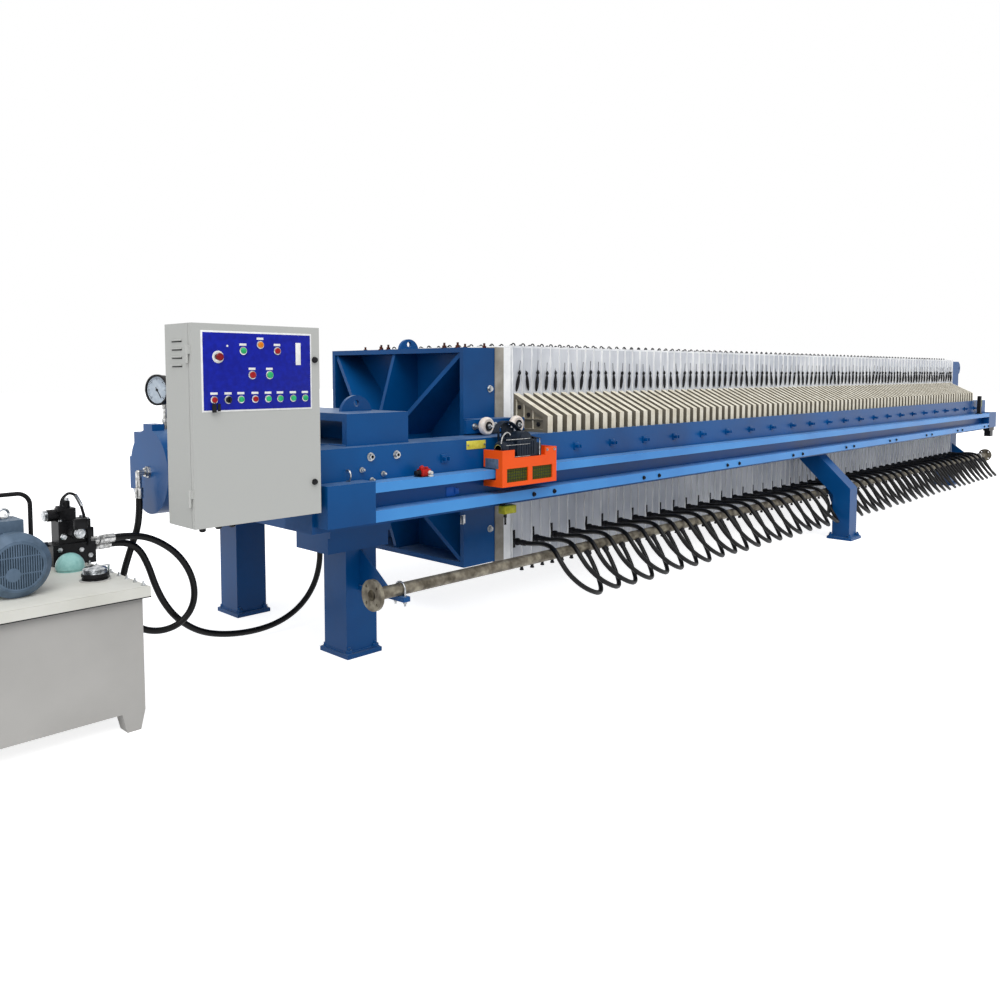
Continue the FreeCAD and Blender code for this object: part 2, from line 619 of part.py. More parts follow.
# ---------------------------------------------------------------- hydraulic cylinder
def cylinder_barrel():
    start = -BARREL_LENGTH + CAP_THICK
    length = SEAT_LENGTH - start
    outer = bar((start, 0, AXIS_Z), (1, 0, 0), BARREL_RADIUS, length)
    return outer.cut(bar((start, 0, AXIS_Z), (1, 0, 0), BARREL_RADIUS - BARREL_WALL, length))


def cylinder_cap():
    """Welded end cap with the flat boss on its top."""
    cap = bar((-BARREL_LENGTH, 0, AXIS_Z), (1, 0, 0), BARREL_RADIUS, CAP_THICK)
    boss = block(-BARREL_LENGTH, -BARREL_LENGTH + CAP_THICK, -CAP_BOSS_WIDTH / 2,
                 CAP_BOSS_WIDTH / 2, AXIS_Z, AXIS_Z + BARREL_RADIUS + CAP_BOSS_RISE)
    return fused(cap, boss)


def cylinder_gland():
    """Ring that closes the barrel round the rod, with its flange behind the seat."""
    start = SEAT_LENGTH - GLAND_LENGTH
    ring = bar((start, 0, AXIS_Z), (1, 0, 0), BARREL_RADIUS - BARREL_WALL, GLAND_LENGTH)
    flange = bar((SEAT_LENGTH, 0, AXIS_Z), (1, 0, 0), GLAND_FLANGE_RADIUS, GLAND_FLANGE)
    bore = bar((start, 0, AXIS_Z), (1, 0, 0), ROD_RADIUS + FIT, GLAND_LENGTH + GLAND_FLANGE)
    return fused(ring, flange).cut(bore)


def piston_rod():
    start = SEAT_LENGTH - GLAND_LENGTH - PISTON_TO_GLAND - PISTON_LENGTH
    shaft = bar((start, 0, AXIS_Z), (1, 0, 0), ROD_RADIUS, HUB_FACE - start)
    piston = bar((start, 0, AXIS_Z), (1, 0, 0), BARREL_RADIUS - BARREL_WALL - FIT, PISTON_LENGTH)
    return fused(shaft, piston)


def cap_elbow():
    """Steel elbow from the middle of the cap, turned down into the oil hose's sleeve."""
    x, z = -BARREL_LENGTH, AXIS_Z
    end = z - ELBOW_DROP
    nut = bar((x - UNION_LENGTH, 0, z), (1, 0, 0), UNION_RADIUS, UNION_LENGTH)
    level = bar((x - ELBOW_REACH, 0, z), (1, 0, 0), PORT_RADIUS, ELBOW_REACH)
    knee = Part.makeSphere(PORT_RADIUS, V(x - ELBOW_REACH, 0, z))
    down = bar((x - ELBOW_REACH, 0, end), (0, 0, 1), PORT_RADIUS, ELBOW_DROP)
    sleeve = bar((x - ELBOW_REACH, 0, end), (0, 0, 1), ELBOW_SLEEVE, SLEEVE_LENGTH)
    return fused(nut, level, knee, down, sleeve)


def rod_port():
    """Oil port under the gland flange."""
    stem = bar((ROD_PORT_X, 0, ROD_PORT_Z), (0, 0, 1), PORT_RADIUS - 1, ROD_PORT_DROP)
    sleeve = bar((ROD_PORT_X, 0, ROD_PORT_Z), (0, 0, 1), ELBOW_SLEEVE, SLEEVE_LENGTH)
    return fused(stem, sleeve)


def pressure_gauge():
    """Dial gauge on a stem that stands on the barrel."""
    foot, under = AXIS_Z + BARREL_RADIUS, GAUGE_Z - GAUGE_RADIUS
    stem = bar((GAUGE_STATION, 0, foot), (0, 0, 1), STEM_RADIUS, GAUGE_Z - foot)
    nut = bar((GAUGE_STATION, 0, foot), (0, 0, 1), STEM_NUT_RADIUS, STEM_NUT)
    neck = bar((GAUGE_STATION, 0, under - STEM_NECK), (0, 0, 1), STEM_NECK_RADIUS, STEM_NECK * 2)
    turn = math.radians(GAUGE_TURN)
    facing = (-math.cos(turn), -math.sin(turn), 0)
    case = bar((GAUGE_STATION, 0, GAUGE_Z), facing, GAUGE_RADIUS, GAUGE_DEPTH)
    return fused(stem, nut, neck, case)


# ---------------------------------------------------------------- follower
def follower_arm():
    """Side arm that carries the pressing plate and the head plate on its rollers."""
    low = BEAM_TOP + ARM_LIFT
    high = low + ARM_HEIGHT
    arm = block(ARM_FRONT, ARM_FRONT + ARM_LENGTH, -ARM_OUTSIDE, -ARM_OUTSIDE + ARM_SHEET, low, high)
    back = HEAD_FRONT - FOLLOWER_DEPTH
    spacer = block(back, HEAD_FRONT, -ARM_OUTSIDE + ARM_SHEET, -FOLLOWER_HALF, low, high)
    shelf = block(HEAD_FRONT, HEAD_FRONT + HEAD_PLATE, -ARM_OUTSIDE + ARM_SHEET, -PLATE_HALF, low, high)
    return fused(arm, spacer, shelf)


def roller(x):
    """Nylon wheel on its axle, which turns in the arm."""
    outer = -ROLLER_Y - ROLLER_WIDTH / 2
    shoulder = ROLLER_RADIUS - ROLLER_CROWN
    outline = [(0, 0), (shoulder, 0), (ROLLER_RADIUS, ROLLER_WIDTH / 4),
               (ROLLER_RADIUS, ROLLER_WIDTH * 3 / 4), (shoulder, ROLLER_WIDTH), (0, ROLLER_WIDTH)]
    points = [V(x + r, outer + along, ROLLER_Z) for r, along in outline]
    wheel = Part.Face(Part.makePolygon(points + points[:1])).revolve(V(x, outer, ROLLER_Z),
                                                                     V(0, 1, 0), 360)
    pin = bar((x, outer - PIN_END, ROLLER_Z), (0, 1, 0), ROLLER_PIN,
              PIN_END - outer - ARM_OUTSIDE)
    return fused(wheel, pin)


# ---------------------------------------------------------------- plate stack
def stack_plate(x, thick):
    return block(x, x + thick, -PLATE_HALF, PLATE_HALF, PLATE_BOTTOM, PLATE_TOP)


def plate_ear():
    """Handle bolted to a plate's side; it slopes out and stands on the beam."""
    x = STACK_FRONT + (PLATE_PITCH - EAR_THICK) / 2.0
    ear = prism([(x, -PLATE_HALF, EAR_TOP), (x, -PLATE_HALF, BEAM_TOP),
                 (x, -EAR_OUTSIDE, BEAM_TOP), (x, -EAR_OUTSIDE, EAR_END_TOP)], (EAR_THICK, 0, 0))
    slope = (EAR_TOP - EAR_END_TOP) / (EAR_OUTSIDE - PLATE_HALF)
    inner, outer = PLATE_HALF + EAR_RIM, EAR_OUTSIDE - 2 * EAR_RIM
    low, top = BEAM_TOP + EAR_RIM, EAR_TOP - EAR_RIM * math.sqrt(2)
    pocket = prism([(x - 1, -inner, top - slope * (inner - PLATE_HALF)), (x - 1, -inner, low),
                    (x - 1, -outer, low), (x - 1, -outer, top - slope * (outer - PLATE_HALF))],
                   (EAR_POCKET + 1, 0, 0))
    return ear.cut(pocket)


# ---------------------------------------------------------------- squeeze manifold
def manifold_pipe():
    start, end = PIPE_FRONT + FLANGE_THICK, THRUST_TAIL + PIPE_TAIL_OVERHANG
    pipe = bar((start, -PIPE_Y, PIPE_Z), (1, 0, 0), PIPE_RADIUS, end - start)
    return pipe.cut(bar((start, -PIPE_Y, PIPE_Z), (1, 0, 0), PIPE_RADIUS - PIPE_WALL, end - start))


def manifold_flange(x):
    flange = bar((x, -PIPE_Y, PIPE_Z), (1, 0, 0), FLANGE_RADIUS, FLANGE_THICK)
    flange = flange.cut(bar((x, -PIPE_Y, PIPE_Z), (1, 0, 0), PIPE_RADIUS - PIPE_WALL, FLANGE_THICK))
    for quarter in range(4):
        angle = math.radians(45 + 90 * quarter)
        y = -PIPE_Y + FLANGE_BOLT_CIRCLE / 2 * math.cos(angle)
        z = PIPE_Z + FLANGE_BOLT_CIRCLE / 2 * math.sin(angle)
        flange = flange.cut(bar((x, y, z), (1, 0, 0), FLANGE_HOLE / 2, FLANGE_THICK))
    return flange


def manifold_bracket(x):
    """Arm from a leg under the pipe, stiffened by a gusset plate."""
    face = -LEG_Y - LEG_SECTION / 2
    top = PIPE_Z - PIPE_RADIUS - FIT
    end = -PIPE_Y - BRACKET_REACH
    arm = block(x - 20, x + 20, end, face, top - BRACKET_ARM, top)
    foot = -PIPE_Y + PIPE_RADIUS + 30
    gusset = prism([(x - 6, face, top), (x - 6, face, BRACKET_GUSSET), (x - 6, foot, top)],
                   (12, 0, 0))
    return fused(arm, gusset)


def manifold_clamp(x):
    """U-bolt over the pipe, through the bracket's arm."""
    radius = PIPE_RADIUS + CLAMP_ROD + FIT
    ring = Part.makeTorus(radius, CLAMP_ROD, V(x, -PIPE_Y, PIPE_Z), V(1, 0, 0))
    hoop = ring.common(block(x - 20, x + 20, -PIPE_Y - 60, -PIPE_Y + 60, PIPE_Z, PIPE_Z + 60))
    low = PIPE_Z - PIPE_RADIUS - FIT
    legs = [bar((x, -PIPE_Y + side * radius, low), (0, 0, 1), CLAMP_ROD, PIPE_Z - low)
            for side in (-1, 1)]
    return fused(hoop, *legs)


def hose_tee():
    """Hexagon coupling screwed into the side of a membrane plate."""
    x = STACK_FRONT + TEE_OFFSET
    corners = [(x + TEE_RADIUS * math.cos(math.radians(60 * k)), -PLATE_HALF,
                TEE_Z + TEE_RADIUS * math.sin(math.radians(60 * k))) for k in range(6)]
    return prism(corners, (0, -TEE_LENGTH, 0))


# Routes of the squeeze hoses: along the machine from the tee, out from the plate's side,
# and up from the floor.  They end square on the pipe, from below on its outer side.  The
# middle leg is passed by a tighter loop before it and by two loops behind it.
PIPE_END = [(283, 359.6, 326.5), (283, 327.5, 364.8)]
FREE_LOOP = [(0, 70, 422), (0, 130, 422), (-12, 235, 442), (-46, 350, 437), (-68, 416, 380),
             (-48, 464, 305), (14, 504, 236), (94, 524, 190), (176, 512, 166), (244, 470, 178),
             (280, 408, 250)] + PIPE_END
LOOP_BEFORE_LEG = [(0, 70, 422), (0, 130, 422), (-8, 235, 442), (-10, 345, 436), (0, 404, 380),
                   (18, 424, 316), (46, 414, 256), (86, 386, 206), (136, 356, 186),
                   (196, 340, 196), (254, 350, 248)] + PIPE_END
LOOP_AFTER_LEG = [(0, 70, 422), (0, 122, 422), (60, 185, 438), (128, 270, 443), (146, 350, 434),
                  (148, 408, 376), (150, 448, 304), (164, 478, 236), (196, 478, 180),
                  (240, 446, 172), (274, 400, 240)] + PIPE_END
LOOP_PAST_LEG = [(0, 70, 422), (0, 130, 422), (8, 235, 442), (18, 345, 436), (22, 416, 380),
                 (26, 464, 308), (50, 504, 240), (108, 528, 194), (176, 512, 166),
                 (244, 470, 178), (280, 408, 250)] + PIPE_END


def hose_route(number):
    """Centre line of one squeeze hose; free loops hang a little unevenly."""
    x = STACK_FRONT + TEE_OFFSET + 2 * PLATE_PITCH * number
    before = MID_LEG_STATION - MID_LEG_SECTION / 2 - x
    past = x - MID_LEG_STATION - MID_LEG_SECTION / 2
    loop, sway, drop = FREE_LOOP, 5 * math.sin(2.4 * number), 5 * math.sin(1.7 * number)
    if 0 < before < 2 * PLATE_PITCH:
        loop, sway, drop = LOOP_BEFORE_LEG, 0.0, 0.0
    elif before <= 0 and past < 0:
        loop, sway, drop = LOOP_AFTER_LEG, 0.0, 0.0
    elif 0 <= past < 2 * PLATE_PITCH:
        loop, sway, drop = LOOP_PAST_LEG, 0.0, 0.0
    last = len(loop) - 1
    route = []
    for k, (dx, out, up) in enumerate(loop):
        hang = math.sin(math.pi * k / last) ** 2 if 3 < k < last - 1 else 0.0
        route.append(V(x + dx + sway * hang, -PLATE_HALF - out, up + drop * hang))
    return route


def squeeze_hose(number):
    """Six-sided tube with mitred turns along its route."""
    route = hose_route(number)
    start = route[0]
    ring = []
    for k in range(6):
        angle = math.radians(60 * k)
        ring.append(start + V(HOSE_RADIUS * math.cos(angle), 0, HOSE_RADIUS * math.sin(angle)))
    shell = Part.BRepOffsetAPI.MakePipeShell(Part.makePolygon(route))
    shell.setTransitionMode(1)
    shell.add(Part.makePolygon(ring + ring[:1]), False, False)
    shell.build()
    shell.makeSolid()
    return shell.shape()


def oil_hose(points, radius):
    """Round tube along straight runs joined by tangent arcs as large as the runs allow."""
    points = [V(*p) for p in points]
    edges, position, radii = [], points[0], []
    for before, corner, after in zip(points, points[1:], points[2:]):
        back, ahead = before - corner, after - corner
        run = min(back.Length, ahead.Length)
        back.normalize()
        ahead.normalize()
        turn = math.pi - back.getAngle(ahead)
        tangent = 0.45 * run
        radii.append(tangent / math.tan(turn / 2.0))
        start, end = corner + back * tangent, corner + ahead * tangent
        bend = back + ahead
        bend.normalize()
        sag = math.hypot(tangent, radii[-1]) - radii[-1]
        edges.append(Part.LineSegment(position, start).toShape())
        edges.append(Part.Arc(start, corner + bend * sag, end).toShape())
        position = end
    edges.append(Part.LineSegment(position, points[-1]).toShape())
    path = Part.Wire(edges)
    way = points[1] - points[0]
    ring = Part.Wire(Part.makeCircle(radius, points[0], way))
    tube = path.makePipeShell([ring], True, False)
    print("oil hose length", round(path.Length), "least bend", round(min(radii)),
          "volume share", round(tube.Volume / (math.pi * radius ** 2 * path.Length), 4))
    return tube


CAP_HOSE = [(PORT_X, VALVE_PORT_YS[0], VALVE_PORT_Z), (-674, VALVE_PORT_YS[0], VALVE_PORT_Z), (-564, -78, 620), (-454, -76, 530),
            (-384, -74, 400), (-382, -72, 270), (-454, -68, 185), (-564, -58, 166),
            (-664, -38, 206), (-714, -12, 310), (-704, 10, 440), (-655, 12, 585),
            (CAP_PORT_X, 0, 705), (CAP_PORT_X, 0, CAP_PORT_Z)]
ROD_HOSE = [(PORT_X, VALVE_PORT_YS[1], RETURN_PORT_Z), (-700, VALVE_PORT_YS[1], RETURN_PORT_Z), (-632, -27, 582),
            (-588, -23, 492), (-556, -18, 390), (-510, -14, 288), (-440, -10, 192),
            (-324, -5, 103), (-174, 0, 56),
            (-4, 0, 40), (146, 0, 58), (276, 0, 118), (368, 0, 220), (410, 0, 350),
            (406, 0, 480), (ROD_PORT_X, 0, 600), (ROD_PORT_X, 0, ROD_PORT_Z)]


# ---------------------------------------------------------------- plate shuttles
def shuttle_carriage():
    """Folded carriage: windowed front, C-shaped ends round the upper bar, deck and ears."""
    x0, x1 = SHUTTLE_FRONT, SHUTTLE_FRONT + SHUTTLE_LENGTH
    out = -SHUTTLE_OUTSIDE
    sheet = SHUTTLE_SHEET
    ear_top = SHUTTLE_TOP + SHUTTLE_EAR_RISE
    face = block(x0, x1, out, out + sheet, SHUTTLE_BOTTOM, SHUTTLE_TOP)
    width = (SHUTTLE_LENGTH - 3 * SHUTTLE_FRAME) / 2
    low, high = SHUTTLE_BOTTOM + SHUTTLE_FRAME * 0.65, RAIL_UPPER_TOP + 4
    for x in (x0 + SHUTTLE_FRAME, x0 + 2 * SHUTTLE_FRAME + width):
        face = face.cut(block(x, x + width, out - 1, out + sheet + 1, low, high))
    pieces = []
    rail_low = RAIL_UPPER_TOP - RAIL_UPPER_BAR - SHUTTLE_PLAY
    for x in (x0, x1 - sheet):
        end = block(x, x + sheet, out, -SHUTTLE_INSIDE, SHUTTLE_BOTTOM, ear_top)
        notch = block(x - 1, x + sheet + 1, -RAIL_OUTSIDE - SHUTTLE_PLAY, -SHUTTLE_INSIDE + 1,
                      rail_low, RAIL_UPPER_TOP + SHUTTLE_PLAY)
        pieces.append(end.cut(notch))
    for x in (x0, x1 - SHUTTLE_EAR_LENGTH):
        pieces.append(block(x, x + SHUTTLE_EAR_LENGTH, out, out + sheet, SHUTTLE_TOP, ear_top))
    pieces.append(block(x0, x1, out, -SHUTTLE_INSIDE, DECK_BOTTOM, DECK_BOTTOM + sheet))
    pieces.append(block(x0, x1, out, -RAIL_OUTSIDE + 40, SHUTTLE_BOTTOM, SHUTTLE_BOTTOM + sheet))
    return fused(face, *pieces)


def shuttle_rollers():
    """Two flanged wheels on the bar's top, on pins through lugs under the deck."""
    y = -(RAIL_OUTSIDE + BEAM_OUTSIDE + RAIL_WEB) / 2
    z = RAIL_UPPER_TOP + SHUTTLE_ROLLER + FIT
    trucks = []
    half, lug, long = TRUCK_WIDTH / 2, TRUCK_LUG, TRUCK_LUG_LENGTH / 2
    for x in (SHUTTLE_FRONT + SHUTTLE_ROLLER_INSET,
              SHUTTLE_FRONT + SHUTTLE_LENGTH - SHUTTLE_ROLLER_INSET):
        wheel = bar((x, y - SHUTTLE_ROLLER_WIDTH / 2, z), (0, 1, 0), SHUTTLE_ROLLER,
                    SHUTTLE_ROLLER_WIDTH)
        pin = bar((x, y - half, z), (0, 1, 0), SHUTTLE_PIN, TRUCK_WIDTH)
        lugs = [block(x - long, x + long, y0, y0 + lug, z - SHUTTLE_PIN - 3, DECK_BOTTOM)
                for y0 in (y - half + 1, y + half - 1 - lug)]
        trucks.append(fused(wheel, pin, *lugs))
    return trucks


def shuttle_drive():
    """Gearmotor on the deck with its chain wheel guard."""
    base = DECK_BOTTOM + SHUTTLE_SHEET
    x, y = SHUTTLE_FRONT + DRIVE_STATION, -SHUTTLE_OUTSIDE + DRIVE_INSET
    end, top = x + DRIVE_LENGTH, base + DRIVE_HEIGHT
    gearbox = block(x, end, y, y + DRIVE_WIDTH, base, top)
    motor = bar((x - DRIVE_MOTOR_LENGTH, y + DRIVE_WIDTH / 2, base + DRIVE_MOTOR_Z), (1, 0, 0),
                DRIVE_MOTOR_RADIUS, DRIVE_MOTOR_LENGTH)
    guard = block(end, end + DRIVE_GUARD, y + SHUTTLE_SHEET, y + DRIVE_WIDTH - SHUTTLE_SHEET, base,
                  top - DRIVE_GUARD_DROP)
    hump = bar(((x + end) / 2, y + SHUTTLE_SHEET, top), (0, 1, 0), DRIVE_HUMP,
               DRIVE_WIDTH - 2 * SHUTTLE_SHEET)
    return fused(gearbox, motor, guard, hump)


# ---------------------------------------------------------------- control cabinet
def cabinet_shell():
    """Open box with the fixed knuckles of both hinges."""
    x0, x1 = CABINET_FRONT, CABINET_FRONT + CABINET_WIDTH
    front = -CABINET_FACE + DOOR_THICK + DOOR_GAP
    back = -CABINET_FACE + CABINET_DEPTH
    top = CABINET_BOTTOM + CABINET_HEIGHT
    wall = CABINET_SHEET
    outer = block(x0, x1, front, back, CABINET_BOTTOM, top)
    inner = block(x0 + wall, x1 - wall, front - 1, back - wall, CABINET_BOTTOM + wall, top - wall)
    pieces = []
    for level in HINGE_LEVELS:
        pieces.append(bar((HINGE_X, HINGE_Y, level - HINGE_LENGTH), (0, 0, 1), HINGE_RADIUS,
                          HINGE_LENGTH))
        pieces.append(block(HINGE_X, x0, HINGE_Y, front + HINGE_LEAF, level - HINGE_LENGTH, level))
    return fused(outer.cut(inner), *pieces)


def cabinet_door():
    """Folded door pan, open to the inside, with the turning knuckles of both hinges."""
    x0, x1 = CABINET_FRONT, CABINET_FRONT + CABINET_WIDTH
    top = CABINET_BOTTOM + CABINET_HEIGHT
    front, back = -CABINET_FACE, -CABINET_FACE + DOOR_THICK
    wall = CABINET_SHEET
    pan = block(x0, x1, front, back, CABINET_BOTTOM, top)
    pan = pan.cut(block(x0 + wall, x1 - wall, front + wall, back + 1,
                        CABINET_BOTTOM + wall, top - wall))
    pieces = []
    for level in HINGE_LEVELS:
        low = level + FIT
        pieces.append(bar((HINGE_X, HINGE_Y, low), (0, 0, 1), HINGE_RADIUS, HINGE_LENGTH))
        pieces.append(block(HINGE_X, x0, back - HINGE_LEAF, back - wall, low, low + HINGE_LENGTH))
    return fused(pan, *pieces)


def cabinet_bracket():
    """Two square tubes from the beam's front end along the back of the cabinet."""
    back = -CABINET_FACE + CABINET_DEPTH
    tubes = []
    for number in range(2):
        z = BEAM_BOTTOM + BRACKET_TUBE_RISE + BRACKET_TUBE_PITCH * number
        tubes.append(block(CABINET_FRONT + BRACKET_TUBE_INSET, BEAM_FRONT, back,
                           back + BRACKET_TUBE, z, z + BRACKET_TUBE))
    return tubes


# ---------------------------------------------------------------- hydraulic power unit
def tank_body():
    """Open welded box; the lid closes it."""
    y0, y1 = -TANK_NEAR, -TANK_NEAR + TANK_DEPTH
    s = TANK_SHEET
    outer = block(TANK_LEFT, TANK_RIGHT, y0, y1, TANK_BOTTOM, TANK_TOP)
    return outer.cut(block(TANK_LEFT + s, TANK_RIGHT - s, y0 + s, y1 - s, TANK_BOTTOM + s,
                           TANK_TOP + 1))


def tank_lid():
    """Top sheet with its edge folded down outside the tank."""
    x0, x1 = TANK_LEFT - LID_OVERHANG, TANK_RIGHT + LID_OVERHANG
    y0, y1 = -TANK_NEAR - LID_OVERHANG, -TANK_NEAR + TANK_DEPTH + LID_OVERHANG
    s = LID_SHEET
    pan = block(x0, x1, y0, y1, LID_TOP - LID_RIM, LID_TOP)
    return pan.cut(block(x0 + s, x1 - s, y0 + s, y1 - s, LID_TOP - LID_RIM - 1, TANK_TOP))


def tank_feet():
    """Four tapered feet under the corners."""
    inset = (FOOT_TOP - FOOT_BASE) / 2
    feet = []
    for x in (TANK_LEFT, TANK_RIGHT - FOOT_TOP):
        for y in (-TANK_NEAR, -TANK_NEAR + TANK_DEPTH - FOOT_DEPTH):
            feet.append(prism([(x, y, TANK_BOTTOM), (x + FOOT_TOP, y, TANK_BOTTOM),
                               (x + FOOT_TOP - inset, y, 0), (x + inset, y, 0)],
                              (0, FOOT_DEPTH, 0)))
    return feet


def motor_body():
    """Finned motor with its feet and terminal box."""
    start = -MOTOR_FACE + FAN_COVER_LENGTH
    end = start + MOTOR_LENGTH
    core = bar((MOTOR_X, start, MOTOR_Z), (0, 1, 0), MOTOR_RADIUS, MOTOR_LENGTH)
    pieces = [block(MOTOR_X - MOTOR_FOOT_WIDTH / 2, MOTOR_X + MOTOR_FOOT_WIDTH / 2,
                    start + MOTOR_FOOT_INSET, end - MOTOR_FOOT_INSET, LID_TOP,
                    MOTOR_Z - MOTOR_RADIUS + MOTOR_FOOT_RISE)]
    for number in range(MOTOR_FINS):
        angle = 360.0 * (number + 0.5) / MOTOR_FINS
        if FIN_GAP[0] < angle < FIN_GAP[1]:
            continue
        fin = block(MOTOR_X + MOTOR_RADIUS - 3, MOTOR_X + MOTOR_RADIUS + MOTOR_FIN,
                    start + FIN_INSET, end - FIN_INSET, MOTOR_Z - FIN_THICK / 2,
                    MOTOR_Z + FIN_THICK / 2)
        fin.rotate(V(MOTOR_X, 0, MOTOR_Z), V(0, -1, 0), angle)
        pieces.append(fin)
    long, deep, high = TERMINAL_BOX
    low = MOTOR_Z + MOTOR_RADIUS - TERMINAL_SINK
    pieces.append(block(MOTOR_X - long / 2, MOTOR_X + long / 2, start + TERMINAL_OFFSET,
                        start + TERMINAL_OFFSET + deep, low, low + high))
    return fused(core, *pieces)


def motor_fan_cover():
    """Bevelled cover over the fan."""
    outline = [(0, -MOTOR_FACE), (FAN_COVER_RADIUS - FAN_COVER_BEVEL, -MOTOR_FACE),
               (FAN_COVER_RADIUS, -MOTOR_FACE + FAN_COVER_BEVEL),
               (FAN_COVER_RADIUS, -MOTOR_FACE + FAN_COVER_LENGTH),
               (0, -MOTOR_FACE + FAN_COVER_LENGTH)]
    points = [V(MOTOR_X + r, y, MOTOR_Z) for r, y in outline]
    face = Part.Face(Part.makePolygon(points + points[:1]))
    return face.revolve(V(MOTOR_X, 0, MOTOR_Z), V(0, 1, 0), 360)


def pump():
    """Bell housing and gear pump behind the motor, with the pipe to the valves."""
    start = -MOTOR_FACE + FAN_COVER_LENGTH + MOTOR_LENGTH
    bell = bar((MOTOR_X, start, MOTOR_Z), (0, 1, 0), BELL_RADIUS, BELL_LENGTH)
    body = bar((MOTOR_X, start + BELL_LENGTH, MOTOR_Z), (0, 1, 0), PUMP_RADIUS, PUMP_LENGTH)
    y = start + BELL_LENGTH + PUMP_LENGTH / 2
    pipe = bar((MOTOR_X, y, MOTOR_Z - PUMP_PIPE_DROP), (1, 0, 0), PUMP_PIPE_RADIUS,
               VALVE_STATION - VALVE_LENGTH / 2 - MOTOR_X)
    return fused(bell, body, pipe)


def valve_stack():
    """Drilled block with two solenoid valves and relief valve caps on it."""
    x, y = VALVE_STATION, -VALVE_Y
    z = LID_TOP + VALVE_BASE
    base = block(x - VALVE_LENGTH / 2, x + VALVE_LENGTH / 2, y - VALVE_WIDTH / 2,
                 y + VALVE_WIDTH / 2, LID_TOP, z)
    long, wide, high = VALVE_BODY
    middle = x + VALVE_BODY_OFFSET
    body = block(middle - long / 2, middle + long / 2, y - wide / 2, y + wide / 2, z, z + high)
    coil = bar((x, y - VALVE_COIL_LENGTH / 2, LID_TOP + VALVE_COIL_Z), (0, 1, 0),
               VALVE_COIL_RADIUS, VALVE_COIL_LENGTH)
    z, middle = z + high, x + VALVE_TOWER_OFFSET
    long, wide, high = VALVE_TOWER
    tower = block(middle - long / 2, middle + long / 2, y - wide / 2, y + wide / 2, z, z + high)
    cap = bar((middle, y, z + high), (0, 0, 1), VALVE_CAP_RADIUS, VALVE_CAP_HEIGHT)
    side_cap = bar((x - VALVE_SIDE_REACH, y, z + VALVE_SIDE_CAP), (1, 0, 0), VALVE_SIDE_CAP,
                   VALVE_SIDE_REACH)
    return fused(base, body, coil, tower, cap, side_cap)


def valve_fittings():
    """Two steel hose fittings that stand out of the valve block."""
    start = VALVE_STATION + VALVE_LENGTH / 2
    fittings = []
    for y, z in zip(VALVE_PORT_YS, (VALVE_PORT_Z, RETURN_PORT_Z)):
        stem = bar((start, y, z), (1, 0, 0), PORT_RADIUS - 2, PORT_X - start)
        nut = bar((start + VALVE_UNION_GAP, y, z), (1, 0, 0), PORT_RADIUS + 4, UNION_LENGTH)
        sleeve = bar((PORT_X - SLEEVE_LENGTH, y, z), (1, 0, 0), ELBOW_SLEEVE, SLEEVE_LENGTH)
        fittings.append(fused(stem, nut, sleeve))
    return fittings


def filler_cap():
    """Breather cap on its flange."""
    flange = bar((CAP_STATION, -CAP_Y, LID_TOP), (0, 0, 1), FILLER_RADIUS, CAP_FLANGE)
    cap = bar((CAP_STATION, -CAP_Y, LID_TOP + CAP_FLANGE), (0, 0, 1), FILLER_RADIUS - CAP_STEP,
              CAP_HEIGHT)
    return fused(flange, cap)


def return_filter():
    """Domed return filter on its neck."""
    x = VALVE_STATION + FILTER_OFFSET
    neck = bar((x, -FILTER_Y, LID_TOP), (0, 0, 1), FILTER_RADIUS, FILTER_NECK)
    dome = Part.makeSphere(FILTER_RADIUS, V(x, -FILTER_Y, LID_TOP + FILTER_NECK), V(0, 0, 1),
                           0, 90, 360)
    return fused(neck, dome)


def tank_handle():
    """Bent round bar that stands on the lid behind the motor."""
    x0, x1 = MOTOR_X - HANDLE_HALF, MOTOR_X + HANDLE_HALF
    y, top, bend = -HANDLE_Y, LID_TOP + HANDLE_HEIGHT, HANDLE_BEND
    cut = bend * (1 - math.sqrt(0.5))
    edges = [
        Part.LineSegment(V(x0, y, LID_TOP), V(x0, y, top - bend)).toShape(),
        Part.Arc(V(x0, y, top - bend), V(x0 + cut, y, top - cut), V(x0 + bend, y, top)).toShape(),
        Part.LineSegment(V(x0 + bend, y, top), V(x1 - bend, y, top)).toShape(),
        Part.Arc(V(x1 - bend, y, top), V(x1 - cut, y, top - cut), V(x1, y, top - bend)).toShape(),
        Part.LineSegment(V(x1, y, top - bend), V(x1, y, LID_TOP)).toShape()]
    ring = Part.Wire(Part.makeCircle(HANDLE_BAR, V(x0, y, LID_TOP), V(0, 0, 1)))
    return Part.Wire(edges).makePipeShell([ring], True, False)


